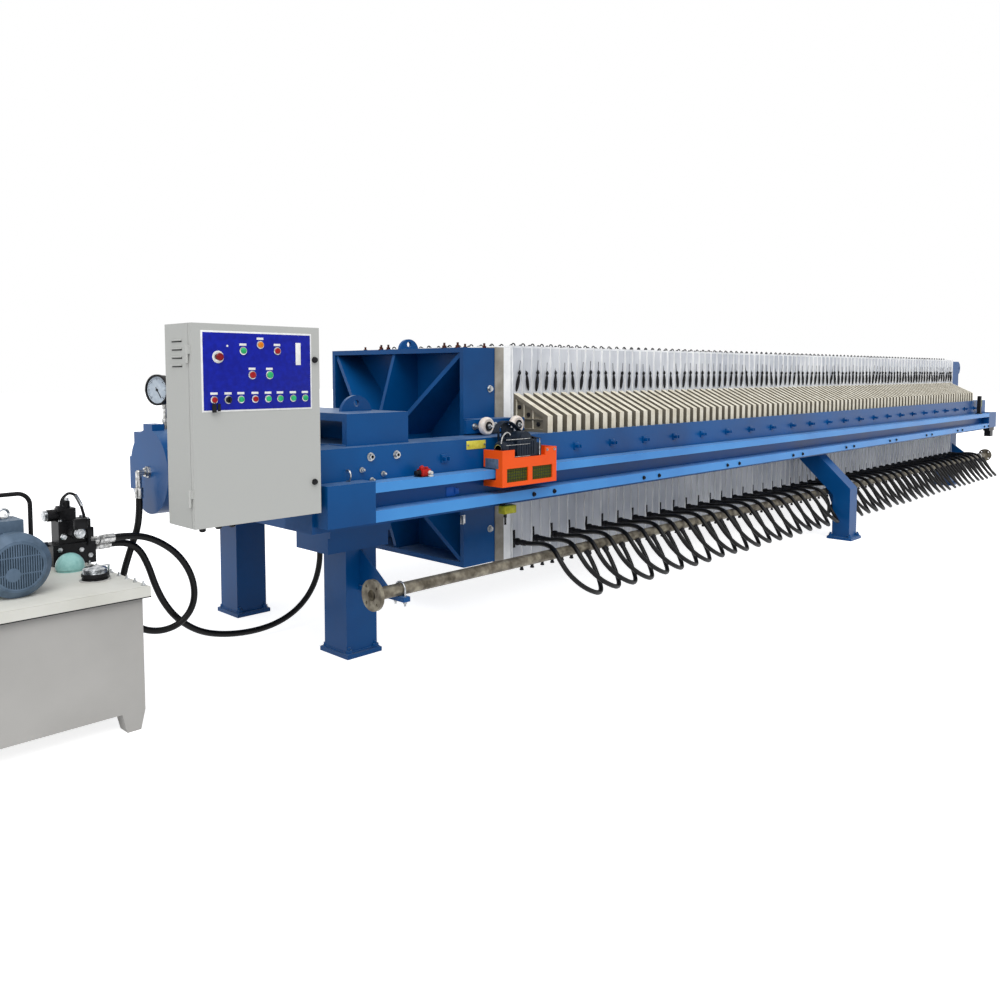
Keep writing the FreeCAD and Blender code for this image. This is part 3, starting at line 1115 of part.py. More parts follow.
# ---------------------------------------------------------------- write the sub-parts
def build_frame():
    save("side_beams", *both_sides(side_beam()))
    save("cylinder_seat", cylinder_seat())
    save("front_legs", *both_sides(leg(LEG_X, LEG_HEAD_BOTTOM)))
    save("middle_legs", *both_sides(middle_leg()))
    save("middle_leg_gusset", middle_leg_gusset())
    save("tail_legs", *both_sides(leg(TAIL_LEG_X, AXIS_Z - FOLLOWER_HALF)))
    save("leg_bases", *(both_sides(leg_base(LEG_X)) + both_sides(middle_leg_base())
                        + both_sides(leg_base(TAIL_LEG_X))))
    save("thrust_plate", thrust_plate())
    save("feed_flange", feed_flange())
    save("rail_bars", *(both_sides(rail_bar(RAIL_UPPER_TOP, RAIL_UPPER_BAR))
                        + both_sides(rail_bar(RAIL_LOWER_TOP, RAIL_LOWER_BAR))))
    save("rail_webs", *both_sides(rail_web()))
    front_block, tail_block = rail_blocks()
    save("rail_end_blocks", *(both_sides(front_block) + both_sides(tail_block)))
    save("limit_switch", limit_switch())
    seat_lug = lifting_lug(LEG_X, -SEAT_LUG_Y, SEAT_TOP, SEAT_LUG_WIDTH, SEAT_LUG_HEIGHT)
    inner_lug = lifting_lug(INNER_LUG_STATION, -INNER_LUG_Y, BEAM_TOP, SEAT_LUG_WIDTH, SEAT_LUG_HEIGHT)
    save("frame_lugs", *(both_sides(seat_lug) + both_sides(inner_lug) + both_sides(back_lug())))
    save("tail_posts", *both_sides(tail_post()))
    save("chain_tensioners", *both_sides(chain_tensioner()))


def build_cylinder():
    save("cylinder_barrel", cylinder_barrel())
    save("cylinder_cap", cylinder_cap())
    save("cylinder_gland", cylinder_gland())
    save("hose_fittings", cap_elbow(), rod_port(), *valve_fittings())
    save("pressure_gauge", pressure_gauge())


def build_follower():
    save("piston_rod", piston_rod())
    save("pressing_plate", pressed_box(HEAD_FRONT, -1))
    save("follower_lug", lifting_lug(HEAD_FRONT - FOLLOWER_DEPTH / 2, 0, AXIS_Z + FOLLOWER_HALF,
                                     LUG_WIDTH, LUG_HEIGHT))
    save("head_plate", stack_plate(HEAD_FRONT, HEAD_PLATE))
    save("head_cloth_plate", stack_plate(HEAD_FRONT + HEAD_PLATE, CLOTH_PLATE))
    save("follower_arms", *both_sides(follower_arm()))
    save("follower_rollers_front", *both_sides(roller(ARM_FRONT + ROLLER_INSET)))
    save("follower_rollers_rear", *both_sides(roller(ARM_FRONT + ARM_LENGTH - ROLLER_INSET)))


def build_stack():
    save("filter_plates", *copies(stack_plate(STACK_FRONT, PLATE_PITCH - PLATE_GAP),
                                  PLATE_COUNT, PLATE_PITCH))
    ear = plate_ear()
    save("plate_handles", *(copies(ear, PLATE_COUNT, PLATE_PITCH)
                            + copies(other_side(ear), PLATE_COUNT, PLATE_PITCH)))
    save("end_plate", stack_plate(STACK_TAIL, CLOTH_PLATE))


def build_manifold():
    save("manifold_pipe", manifold_pipe())
    save("manifold_flanges", manifold_flange(PIPE_FRONT),
         manifold_flange(THRUST_TAIL + PIPE_TAIL_OVERHANG))
    supports = (LEG_X, TAIL_LEG_X + TAIL_BRACKET_OFFSET)
    save("manifold_brackets", *[manifold_bracket(x) for x in supports])
    save("manifold_clamps", *[manifold_clamp(x) for x in supports])
    save("hose_tees", *copies(hose_tee(), HOSE_COUNT, 2 * PLATE_PITCH))
    hoses = [squeeze_hose(number) for number in range(HOSE_COUNT)]
    lengths = [Part.makePolygon(hose_route(number)).Length for number in range(HOSE_COUNT)]
    print("squeeze hoses", round(min(lengths)), "to", round(max(lengths)), "mm")
    save("squeeze_hoses", *hoses)


def build_shuttles():
    for side, turn in (("near", lambda shape: shape), ("far", other_side)):
        save("shuttle_carriage_" + side, turn(shuttle_carriage()))
        save("shuttle_rollers_" + side, *[turn(truck) for truck in shuttle_rollers()])
        save("shuttle_drive_" + side, turn(shuttle_drive()))


def build_cabinet():
    save("cabinet_shell", cabinet_shell())
    save("cabinet_door", cabinet_door())
    save("cabinet_bracket", *cabinet_bracket())


def build_power_unit():
    save("tank_body", tank_body())
    save("tank_lid", tank_lid())
    save("tank_feet", *tank_feet())
    save("motor_body", motor_body())
    save("motor_fan_cover", motor_fan_cover())
    save("pump", pump())
    save("valve_stack", valve_stack())
    save("tank_fittings", filler_cap(), return_filter())
    save("tank_handle", tank_handle())
    save("cap_hose", oil_hose(CAP_HOSE, OIL_HOSE_RADIUS))
    save("rod_hose", oil_hose(ROD_HOSE, OIL_HOSE_RADIUS))


os.makedirs("parts", exist_ok=True)
build_frame()
build_cylinder()
build_follower()
build_stack()
build_manifold()
build_shuttles()
build_cabinet()
build_power_unit()
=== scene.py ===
import math

import bmesh
import bpy
from mathutils import Matrix, Vector


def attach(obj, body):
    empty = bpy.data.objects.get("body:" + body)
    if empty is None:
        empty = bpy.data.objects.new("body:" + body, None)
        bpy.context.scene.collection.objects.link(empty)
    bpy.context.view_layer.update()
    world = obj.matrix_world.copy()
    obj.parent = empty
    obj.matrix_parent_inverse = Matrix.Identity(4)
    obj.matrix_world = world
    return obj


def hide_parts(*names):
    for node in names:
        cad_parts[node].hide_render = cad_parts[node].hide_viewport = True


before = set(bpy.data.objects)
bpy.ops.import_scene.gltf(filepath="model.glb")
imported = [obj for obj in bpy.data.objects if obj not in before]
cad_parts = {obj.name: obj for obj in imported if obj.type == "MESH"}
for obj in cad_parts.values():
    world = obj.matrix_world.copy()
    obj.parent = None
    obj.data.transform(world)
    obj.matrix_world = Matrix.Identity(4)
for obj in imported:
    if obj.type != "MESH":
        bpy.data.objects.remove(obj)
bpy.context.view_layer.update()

# ------------------------------------------------------------------ camera, light and floor
# A full-frame camera with a short lens stands at eye height off the power unit's corner.
# A wide soft sun and a white sky light the press evenly over its eleven metres.
eye = Vector((-6.453, -4.128, 1.420))
turn = math.radians(44.0)
dip = math.radians(-3.75)
looking = Vector((math.cos(turn) * math.cos(dip), math.sin(turn) * math.cos(dip), math.sin(dip)))

camera = bpy.data.objects.new("camera", bpy.data.cameras.new("camera"))
bpy.context.scene.collection.objects.link(camera)
camera.location = eye
camera.rotation_euler = looking.to_track_quat("-Z", "Y").to_euler()
camera.data.sensor_width = 36.0
camera.data.lens = 31.32
camera.data.shift_y = -0.07
camera.data.clip_end = 200.0
bpy.context.scene.camera = camera
bpy.context.scene.view_settings.view_transform = "Standard"


def add(tree, kind, sockets=None, **settings):
    """Adds a node; a socket's value is a number, a colour or the output that it is linked from."""
    node = tree.nodes.new(kind)
    for key, value in settings.items():
        setattr(node, key, value)
    for key, value in (sockets or {}).items():
        if isinstance(value, bpy.types.NodeSocket):
            tree.links.new(value, node.inputs[key])
        else:
            node.inputs[key].default_value = value
    return node


def rgb(code):
    """An sRGB hex colour as the linear colour that the shaders take."""
    parts = [int(code[i:i + 2], 16) / 255.0 for i in (0, 2, 4)]
    linear = [p / 12.92 if p <= 0.04045 else ((p + 0.055) / 1.055) ** 2.4 for p in parts]
    return (*linear, 1.0)


def sun(name, strength, spread, towards):
    """A soft light that shines along the given direction; its spread is in degrees."""
    lamp = bpy.data.lights.new(name, "SUN")
    lamp.energy = strength
    lamp.angle = math.radians(spread)
    obj = bpy.data.objects.new(name, lamp)
    obj.rotation_euler = Vector(towards).to_track_quat("-Z", "Y").to_euler()
    bpy.context.scene.collection.objects.link(obj)


sun("hall_roof_light", 1.75, 50.0, (0.30, 0.55, -0.80))
sun("door_light", 0.55, 70.0, (0.85, 0.25, -0.25))

def rays(tree, *kinds):
    """One where a ray is of one of the named kinds, otherwise nought."""
    path = add(tree, "ShaderNodeLightPath")
    found = path.outputs[kinds[0]]
    for kind in kinds[1:]:
        found = add(tree, "ShaderNodeMath", {0: found, 1: path.outputs[kind]},
                    operation="MAXIMUM").outputs[0]
    return found


world = bpy.data.worlds.new("hall")
world.use_nodes = True
bpy.context.scene.world = world
sky = world.node_tree
sky.nodes.clear()
seen = rays(sky, "Is Camera Ray", "Is Glossy Ray", "Is Transmission Ray")
lit = add(sky, "ShaderNodeBackground", {"Color": rgb("F4F6FA"), "Strength": 0.62})
shown = add(sky, "ShaderNodeBackground", {"Color": (1, 1, 1, 1), "Strength": 1.0})
both = add(sky, "ShaderNodeMixShader", {0: seen, 1: lit.outputs[0], 2: shown.outputs[0]})
add(sky, "ShaderNodeOutputWorld", {"Surface": both.outputs[0]})

floor_finish = bpy.data.materials.new("pale_floor")
floor_finish.use_nodes = True
paint = floor_finish.node_tree
paint.nodes.clear()
seen = rays(paint, "Is Camera Ray", "Is Glossy Ray")
matt = add(paint, "ShaderNodeBsdfDiffuse", {"Color": rgb("D8D8D8")})
lifted = add(paint, "ShaderNodeEmission", {"Color": (1, 1, 1, 1), "Strength": 0.8})
summed = add(paint, "ShaderNodeAddShader", {0: matt.outputs[0], 1: lifted.outputs[0]})
mixed = add(paint, "ShaderNodeMixShader", {0: seen, 1: matt.outputs[0], 2: summed.outputs[0]})
add(paint, "ShaderNodeOutputMaterial", {"Surface": mixed.outputs[0]})
floor_mesh = bpy.data.meshes.new("floor")
floor_mesh.from_pydata([(-60, -60, -0.001), (60, -60, -0.001), (60, 60, -0.001), (-60, 60, -0.001)],
                       [], [(0, 1, 2, 3)])
floor = bpy.data.objects.new("floor", floor_mesh)
floor_mesh.materials.append(floor_finish)
bpy.context.scene.collection.objects.link(floor)

# ------------------------------------------------------------------ squeeze hoses
# Black rubber air hoses with a smooth cover, one to every second plate.  Each is pushed on a
# coupling in the plate's side, lies over the pipe, hangs in a loop and ends under the pipe.
MIDDLE = 4059.0                      # the frame's origin, in millimetres behind the seat's front
PLATE_HALF = 625.0                   # half of a 1250 mm plate
STACK_FRONT = 1329.0
PLATE_PITCH = 86.0
PLATE_COUNT = 93
TEE_STATION = STACK_FRONT + 21.0
HOSE_COUNT = 47
HOSE_DIAMETER = 0.028
PIPE_END = [(283, 359.6, 326.5), (283, 327.5, 364.8)]
FREE_LOOP = [(0, 70, 422), (0, 130, 422), (-12, 235, 442), (-46, 350, 437), (-68, 416, 380),
             (-48, 464, 305), (14, 504, 236), (94, 524, 190), (176, 512, 166), (244, 470, 178),
             (280, 408, 250)] + PIPE_END
LOOP_BEFORE_LEG = [(0, 70, 422), (0, 130, 422), (-8, 235, 442), (-10, 345, 436), (0, 404, 380),
                   (18, 424, 316), (46, 414, 256), (86, 386, 206), (136, 356, 186),
                   (196, 340, 196), (254, 350, 248)] + PIPE_END
LOOP_AFTER_LEG = [(0, 70, 422), (0, 122, 422), (60, 185, 438), (128, 270, 443), (146, 350, 434),
                  (148, 408, 376), (150, 448, 304), (164, 478, 236), (196, 478, 180),
                  (240, 446, 172), (274, 400, 240)] + PIPE_END
LOOP_PAST_LEG = [(0, 70, 422), (0, 130, 422), (8, 235, 442), (18, 345, 436), (22, 416, 380),
                 (26, 464, 308), (50, 504, 240), (108, 528, 194), (176, 512, 166),
                 (244, 470, 178), (280, 408, 250)] + PIPE_END
LOOPS_AT_LEG = {20: LOOP_BEFORE_LEG, 21: LOOP_AFTER_LEG, 22: LOOP_PAST_LEG}


def squeeze_route(number):
    """The hose's route in metres: free loops hang a little unevenly, as in the solids."""
    x = TEE_STATION + 2 * PLATE_PITCH * number - MIDDLE
    loop, sway, drop = FREE_LOOP, 5 * math.sin(2.4 * number), 5 * math.sin(1.7 * number)
    if number in LOOPS_AT_LEG:
        loop, sway, drop = LOOPS_AT_LEG[number], 0.0, 0.0
    last = len(loop) - 1
    points = []
    for k, (along, out, up) in enumerate(loop):
        hang = math.sin(math.pi * k / last) ** 2 if 3 < k < last - 1 else 0.0
        points.append(((x + along + sway * hang) / 1000, (-PLATE_HALF - out) / 1000,
                       (up + drop * hang) / 1000))
    return points


def finish(name, roughness, metallic=0.0):
    """A material with its shader and texture coordinates."""
    material = bpy.data.materials.new(name)
    material.use_nodes = True
    tree = material.node_tree
    tree.nodes.clear()
    shader = add(tree, "ShaderNodeBsdfPrincipled", {"Roughness": roughness, "Metallic": metallic,
                                                    "Specular IOR Level": 0.16})
    add(tree, "ShaderNodeOutputMaterial", {"Surface": shader.outputs[0]})
    place = add(tree, "ShaderNodeTexCoord")
    return material, tree, shader, place.outputs["Object"]


def mottled(tree, shader, place, light, dark, size, low=0.35, high=0.65):
    """Two shades that change slowly over patches of the given size in metres."""
    noise = add(tree, "ShaderNodeTexNoise", {"Vector": place, "Scale": 1.0 / size, "Detail": 4.0})
    ramp = add(tree, "ShaderNodeValToRGB", {"Fac": noise.outputs[0]})
    ramp.color_ramp.elements[0].position = low
    ramp.color_ramp.elements[0].color = rgb(dark)
    ramp.color_ramp.elements[1].position = high
    ramp.color_ramp.elements[1].color = rgb(light)
    tree.links.new(ramp.outputs[0], shader.inputs["Base Color"])
    return noise, ramp


def grained(tree, shader, place, size, strength, depth):
    """A fine relief of the given grain size in metres and depth in metres."""
    grain = add(tree, "ShaderNodeTexNoise", {"Vector": place, "Scale": 1.0 / size, "Detail": 2.0})
    bump = add(tree, "ShaderNodeBump", {"Strength": strength, "Distance": depth,
                                        "Height": grain.outputs[0]})
    tree.links.new(bump.outputs[0], shader.inputs["Normal"])


def rubber():
    """Extruded nitrile rubber: nearly black, dull, with a faint dusty bloom along the cover."""
    material, tree, shader, place = finish("extruded_nitrile_rubber", 0.42)
    shader.inputs["Specular IOR Level"].default_value = 0.22
    mottled(tree, shader, place, "070708", "020203", 0.05)
    grained(tree, shader, place, 0.004, 0.25, 0.0008)
    return material


hose_rubber = rubber()


def hose_curve(name, points, diameter):
    """One smooth spline with the route's points as its control points."""
    data = bpy.data.curves.new(name, "CURVE")
    data.dimensions = "3D"
    data.bevel_depth = diameter / 2
    data.bevel_resolution = 3
    data.resolution_u = 8
    data.use_fill_caps = True
    spline = data.splines.new("NURBS")
    spline.points.add(len(points) - 1)
    for point, place in zip(spline.points, points):
        point.co = (*place, 1.0)
    spline.order_u = 3
    spline.use_endpoint_u = True
    data.materials.append(hose_rubber)
    piece = bpy.data.objects.new(name, data)
    bpy.context.scene.collection.objects.link(piece)
    return piece


def spline_length(piece):
    """Length of the curve's own line, read from a bare copy of it."""
    line = bpy.data.objects.new("bare_line", piece.data.copy())
    line.data.bevel_depth = 0.0
    line.data.use_fill_caps = False
    bpy.context.scene.collection.objects.link(line)
    bpy.context.view_layer.update()
    solved = bpy.context.evaluated_depsgraph_get()
    mesh = bpy.data.meshes.new_from_object(line.evaluated_get(solved))
    places = [v.co.copy() for v in mesh.vertices]
    bpy.data.meshes.remove(mesh)
    curve = line.data
    bpy.data.objects.remove(line)
    bpy.data.curves.remove(curve)
    return sum((b - a).length for a, b in zip(places, places[1:]))


# as many free hoses as one part can state; the rest are alike
DECLARED_HOSES = 38                  # the first ones also have their first point and length worked out; the rest are alike
squeeze_hoses = []
for number in range(HOSE_COUNT):
    route = squeeze_route(number)
    hose = hose_curve(f"squeeze_hose_{number + 1:02d}", route, HOSE_DIAMETER)
    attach(hose, "frame")
    if number < DECLARED_HOSES:
        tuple(route[0])
        round(spline_length(hose), 3)
    squeeze_hoses.append(hose)
for hose in squeeze_hoses:
    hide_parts("squeeze_hoses")

# ------------------------------------------------------------------ oil hoses
# Two black high-pressure hoses with a thicker cover.  They leave the valve block together; one
# rises in a wide loop to the cylinder's cap, the other runs along the floor to the rod side.
OIL_DIAMETER = 0.032
CAP_ROUTE = [(-770, -80, 662), (-674, -80, 662), (-564, -78, 620), (-454, -76, 530),
             (-384, -74, 400), (-382, -72, 270), (-454, -68, 185), (-564, -58, 166),
             (-664, -38, 206), (-714, -12, 310), (-704, 10, 440), (-655, 12, 585),
             (-614, 0, 705), (-614, 0, 821)]
ROD_ROUTE = [(-770, -30, 626), (-700, -30, 626), (-632, -27, 582), (-588, -23, 492),
             (-556, -18, 390), (-510, -14, 288), (-440, -10, 192), (-324, -5, 103), (-174, 0, 56),
             (-4, 0, 40), (146, 0, 58), (276, 0, 118), (368, 0, 220), (410, 0, 350),
             (406, 0, 480), (390, 0, 600), (390, 0, 708)]
for name, stations in (("cap_hose", CAP_ROUTE), ("rod_hose", ROD_ROUTE)):
    route = [((x - MIDDLE) / 1000, y / 1000, z / 1000) for x, y, z in stations]
    hose = hose_curve("oil_" + name, route, OIL_DIAMETER)
    hose.data.bevel_resolution = 5
    hose.data.resolution_u = 14
    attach(hose, "frame")
    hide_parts(name)
    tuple(route[0])
    round(spline_length(hose), 3)

# ------------------------------------------------------------------ welded frame
# Side beams, cylinder seat and legs are welded from steel plate and sprayed with a blue gloss
# enamel over filler.  The feet are bolted to the floor, the rest is welded together.
FRAME_NODES = ("side_beams", "cylinder_seat", "front_legs", "middle_legs", "middle_leg_gusset",
               "tail_legs", "leg_bases", "frame_lugs", "manifold_brackets", "cabinet_bracket")
LEG_STATION = 227.5
LEG_Y = 533.0
TAIL_LEG_STATION = 9511.0
MID_LEG_STATION = 5003.0
MID_FOOT_Y = 1104.0
BASE_THICK = 22.0
BEAM_FACE = 905.0                    # centre line to the outer face of a side beam


def blue_enamel(name, light, dark, roughness=0.33):
    """Gloss enamel sprayed on filled plate: soft cloudy shades, orange peel, dust on top faces."""
    material, tree, shader, place = finish(name, roughness)
    noise, ramp = mottled(tree, shader, place, light, dark, 0.55, 0.3, 0.7)
    facing = add(tree, "ShaderNodeNewGeometry")
    upward = add(tree, "ShaderNodeSeparateXYZ", {0: facing.outputs["Normal"]})
    dust = add(tree, "ShaderNodeTexNoise", {"Vector": place, "Scale": 9.0, "Detail": 6.0})
    settled = add(tree, "ShaderNodeMapRange", {"Value": upward.outputs["Z"], "From Min": 0.7,
                                               "From Max": 1.0, "To Max": 0.42})
    amount = add(tree, "ShaderNodeMath", {0: settled.outputs[0], 1: dust.outputs[0]},
                 operation="MULTIPLY")
    mixed = add(tree, "ShaderNodeMix", {"Factor": amount.outputs[0], 6: ramp.outputs[0],
                                        7: rgb("A9BED2")}, data_type="RGBA")
    tree.links.new(mixed.outputs[2], shader.inputs["Base Color"])
    scuffs = add(tree, "ShaderNodeMapRange", {"Value": noise.outputs[0], "To Min": roughness - 0.06,
                                              "To Max": roughness + 0.14})
    tree.links.new(scuffs.outputs[0], shader.inputs["Roughness"])
    shader.inputs["Coat Weight"].default_value = 0.05
    shader.inputs["Coat Roughness"].default_value = 0.18
    grained(tree, shader, place, 0.012, 0.22, 0.0009)
    return material


frame_blue = blue_enamel("blue_gloss_enamel", "004F8C", "003E74")


def dress(material, *nodes):
    """Gives carried-over solids their finish."""
    for node in nodes:
        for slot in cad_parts[node].material_slots:
            slot.material = material


dress(frame_blue, *FRAME_NODES)


def finished(name, mesh, material, body, slot):
    """A finished mesh as a piece that rides on a body."""
    mesh.name = name
    mesh.materials.clear()
    mesh.materials.append(material)
    mesh.polygons.foreach_set("use_smooth", [True] * len(mesh.polygons))
    mesh.set_sharp_from_angle(angle=math.radians(35))
    obj = bpy.data.objects.new(name, mesh)
    bpy.context.scene.collection.objects.link(obj)
    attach(obj, body)
    return obj


def piece(name, form, material, body, slot):
    """A form drawn in millimetres along the machine, brought to the frame's metres."""
    bmesh.ops.recalc_face_normals(form, faces=form.faces)
    form.transform(Matrix.Scale(0.001, 4) @ Matrix.Translation((-MIDDLE, 0, 0)))
    mesh = bpy.data.meshes.new(name)
    form.to_mesh(mesh)
    form.free()
    return finished(name, mesh, material, body, slot)


def slab(form, low, high, edge=0.0):
    """A plate or block between two corners, with its edges broken."""
    corners = bmesh.ops.create_cube(form, size=1.0)["verts"]
    bmesh.ops.scale(form, vec=[b - a for a, b in zip(low, high)], verts=corners)
    bmesh.ops.translate(form, vec=[(a + b) / 2 for a, b in zip(low, high)], verts=corners)
    if edge:
        edges = list({e for corner in corners for e in corner.link_edges})
        bmesh.ops.bevel(form, geom=edges, offset=edge, segments=2, profile=0.5, affect="EDGES")


def lathed(form, foot, way, outline, sides=24):
    """A closed round shape about a line; its outline lists distance along the line and radius."""
    way = Vector(way).normalized()
    across = way.to_track_quat("Z", "Y").to_matrix()
    rings = []
    for along, radius in outline:
        if radius == 0:
            rings.append([form.verts.new(Vector(foot) + way * along)])
            continue
        ring = [across @ Vector((radius * math.cos(math.tau * k / sides),
                                 radius * math.sin(math.tau * k / sides), along))
                for k in range(sides)]
        rings.append([form.verts.new(Vector(foot) + spot) for spot in ring])
    for one, two in zip(rings, rings[1:]):
        for k in range(sides):
            j = (k + 1) % sides
            corners = [one[k % len(one)], one[j % len(one)], two[j % len(two)], two[k % len(two)]]
            corners = list(dict.fromkeys(corners))
            if len(corners) > 2:
                form.faces.new(corners)
    for ring in (rings[0], rings[-1]):
        if len(ring) > 2:
            form.faces.new(ring)


def rod(form, start, end, radius, sides=16, edge=0.0):
    """A round bar between two points, with its end edges broken."""
    long = (Vector(end) - Vector(start)).length
    outline = [(0, radius - edge), (edge, radius), (long - edge, radius), (long, radius - edge)]
    if not edge:
        outline = [(0, radius), (long, radius)]
    lathed(form, start, Vector(end) - Vector(start), outline, sides)


def bent(form, points, radius, sides=10, steps=6):
    """A bent round bar or rigid pipe that rounds the corners of its route."""
    spots = [Vector(p) for p in points]
    middles = [(a + b) / 2 for a, b in zip(spots, spots[1:])]
    middles[0], middles[-1] = spots[0], spots[-1]
    line = []
    for a, corner, b in zip(middles, spots[1:], middles[1:]):
        line += [a.lerp(corner, k / steps).lerp(corner.lerp(b, k / steps), k / steps)
                 for k in range(steps)]
    line.append(spots[-1])
    across, rings = None, []
    for k, spot in enumerate(line):
        way = (line[min(k + 1, len(line) - 1)] - line[max(k - 1, 0)]).normalized()
        side = way.orthogonal() if across is None else across - way * across.dot(way)
        across = side.normalized()
        up = way.cross(across)
        rings.append([form.verts.new(spot + across * (radius * math.cos(math.tau * j / sides))
                                     + up * (radius * math.sin(math.tau * j / sides)))
                      for j in range(sides)])
    for one, two in zip(rings, rings[1:]):
        for j in range(sides):
            i = (j + 1) % sides
            form.faces.new([one[j], one[i], two[i], two[j]])
    form.faces.new(rings[0])
    form.faces.new(rings[-1])


def tree_with(name, **sockets):
    """An empty geometry tree with a shape coming in, named sizes, and a shape going out."""
    tree = bpy.data.node_groups.new(name, "GeometryNodeTree")
    tree.interface.new_socket("Shape", in_out="INPUT", socket_type="NodeSocketGeometry")
    for label, kind in sockets.items():
        tree.interface.new_socket(label.replace("_", " "), in_out="INPUT",
                                  socket_type="NodeSocket" + kind)
    tree.interface.new_socket("Finished", in_out="OUTPUT", socket_type="NodeSocketGeometry")
    return tree, add(tree, "NodeGroupInput").outputs


def send_out(tree, shape, material):
    """Ends a tree with its shape in one material."""
    painted = add(tree, "GeometryNodeSetMaterial", {"Geometry": shape, "Material": material})
    add(tree, "NodeGroupOutput", {0: painted.outputs[0]})
    return tree


def points_along(tree, given):
    """Points along the machine from Start, Count of them, Pitch apart."""
    step = add(tree, "ShaderNodeCombineXYZ", {0: given["Pitch"]})
    line = add(tree, "GeometryNodeMeshLine", {"Count": given["Count"], "Offset": step.outputs[0],
                                              "Start Location": given["Start"]}, mode="OFFSET")
    return line.outputs[0]


def grown(name, mesh, tree, values, material, body, slot):
    """Runs a geometry tree on a mesh and keeps the plain mesh that comes out."""
    seed = bpy.data.objects.new(name + "_seed", mesh)
    bpy.context.scene.collection.objects.link(seed)
    modifier = seed.modifiers.new("grow", "NODES")
    modifier.node_group = tree
    for item in tree.interface.items_tree:
        if item.in_out == "INPUT" and item.name in values:
            modifier[item.identifier] = values[item.name]
    bpy.context.view_layer.update()
    made = bpy.data.meshes.new_from_object(
        seed.evaluated_get(bpy.context.evaluated_depsgraph_get()))
    bpy.data.objects.remove(seed)
    return finished(name, made, material, body, slot)


def bolt_tree():
    """Hexagon heads with their washers and thread ends, one at each point, facing its way."""
    tree, given = tree_with("hexagon_bolts", Across_Flats="Float", Head_Height="Float",
                            Washer_Radius="Float", Thread_End="Float", Seed="Int",
                            Finish="Material")
    corner = add(tree, "ShaderNodeMath", {0: given["Across Flats"], 1: 1 / math.sqrt(3)},
                 operation="MULTIPLY")
    head = add(tree, "GeometryNodeMeshCylinder", {"Vertices": 6, "Radius": corner.outputs[0],
                                                  "Depth": given["Head Height"]})
    half = add(tree, "ShaderNodeMath", {0: given["Head Height"], 1: 0.5}, operation="MULTIPLY")
    lift = add(tree, "ShaderNodeCombineXYZ", {2: half.outputs[0]})
    head = add(tree, "GeometryNodeTransform", {"Geometry": head.outputs["Mesh"],
                                               "Translation": lift.outputs[0]})
    thick = add(tree, "ShaderNodeMath", {0: given["Head Height"], 1: 0.3}, operation="MULTIPLY")
    washer = add(tree, "GeometryNodeMeshCylinder",
                 {"Vertices": 18, "Radius": given["Washer Radius"], "Depth": thick.outputs[0]})
    thread = add(tree, "ShaderNodeMath", {0: given["Across Flats"], 1: 0.3}, operation="MULTIPLY")
    reach = add(tree, "ShaderNodeMath", {0: given["Head Height"], 1: given["Thread End"]},
                operation="ADD")
    end = add(tree, "GeometryNodeMeshCylinder", {"Vertices": 12, "Radius": thread.outputs[0],
                                                 "Depth": reach.outputs[0]})
    half = add(tree, "ShaderNodeMath", {0: reach.outputs[0], 1: 0.5}, operation="MULTIPLY")
    lift = add(tree, "ShaderNodeCombineXYZ", {2: half.outputs[0]})
    end = add(tree, "GeometryNodeTransform", {"Geometry": end.outputs["Mesh"],
                                              "Translation": lift.outputs[0]})
    bolt = add(tree, "GeometryNodeJoinGeometry")
    for part in (head.outputs[0], washer.outputs["Mesh"], end.outputs[0]):
        tree.links.new(part, bolt.inputs[0])
    facing = add(tree, "GeometryNodeInputNamedAttribute", {"Name": "facing"},
                 data_type="FLOAT_VECTOR")
    turned = add(tree, "FunctionNodeAlignRotationToVector", {"Vector": facing.outputs[0]}, axis="Z")
    placed = add(tree, "GeometryNodeInstanceOnPoints", {
        "Points": given["Shape"], "Instance": bolt.outputs[0], "Rotation": turned.outputs[0]})
    spin = add(tree, "FunctionNodeRandomValue",
               {"Max": (0.0, 0.0, math.tau), "Seed": given["Seed"]}, data_type="FLOAT_VECTOR")
    placed = add(tree, "GeometryNodeRotateInstances", {"Instances": placed.outputs[0],
                                                       "Rotation": spin.outputs[0]})
    solid = add(tree, "GeometryNodeRealizeInstances", {0: placed.outputs[0]})
    return send_out(tree, solid.outputs[0], given["Finish"])


hexagon_bolts = bolt_tree()


def bolts(name, places, facing, size, material, body, slot, thread=0.0, seed=1):
    """Hexagon bolts or nuts of one size at the given places, in millimetres along the machine."""
    mesh = bpy.data.meshes.new(name)
    mesh.from_pydata([((x - MIDDLE) / 1000, y / 1000, z / 1000) for x, y, z in places], [], [])
    ways = mesh.attributes.new("facing", "FLOAT_VECTOR", "POINT")
    for k, way in enumerate(ways.data):
        way.vector = facing[k] if isinstance(facing, list) else facing
    return grown(name, mesh, hexagon_bolts, {
        "Across Flats": size / 1000, "Head Height": 0.62 * size / 1000,
        "Washer Radius": 0.78 * size / 1000, "Thread End": thread / 1000, "Seed": seed,
        "Finish": material}, material, body, slot)


def plated_steel(name, light, dark, roughness):
    """Zinc-plated turned steel: grey, softly mirroring, with fine scratches."""
    material, tree, shader, place = finish(name, roughness, 0.92)
    mottled(tree, shader, place, light, dark, 0.015)
    grained(tree, shader, place, 0.0015, 0.2, 0.0003)
    return material


zinc_steel = plated_steel("zinc_plated_steel", "BFC1C2", "8E9092", 0.32)

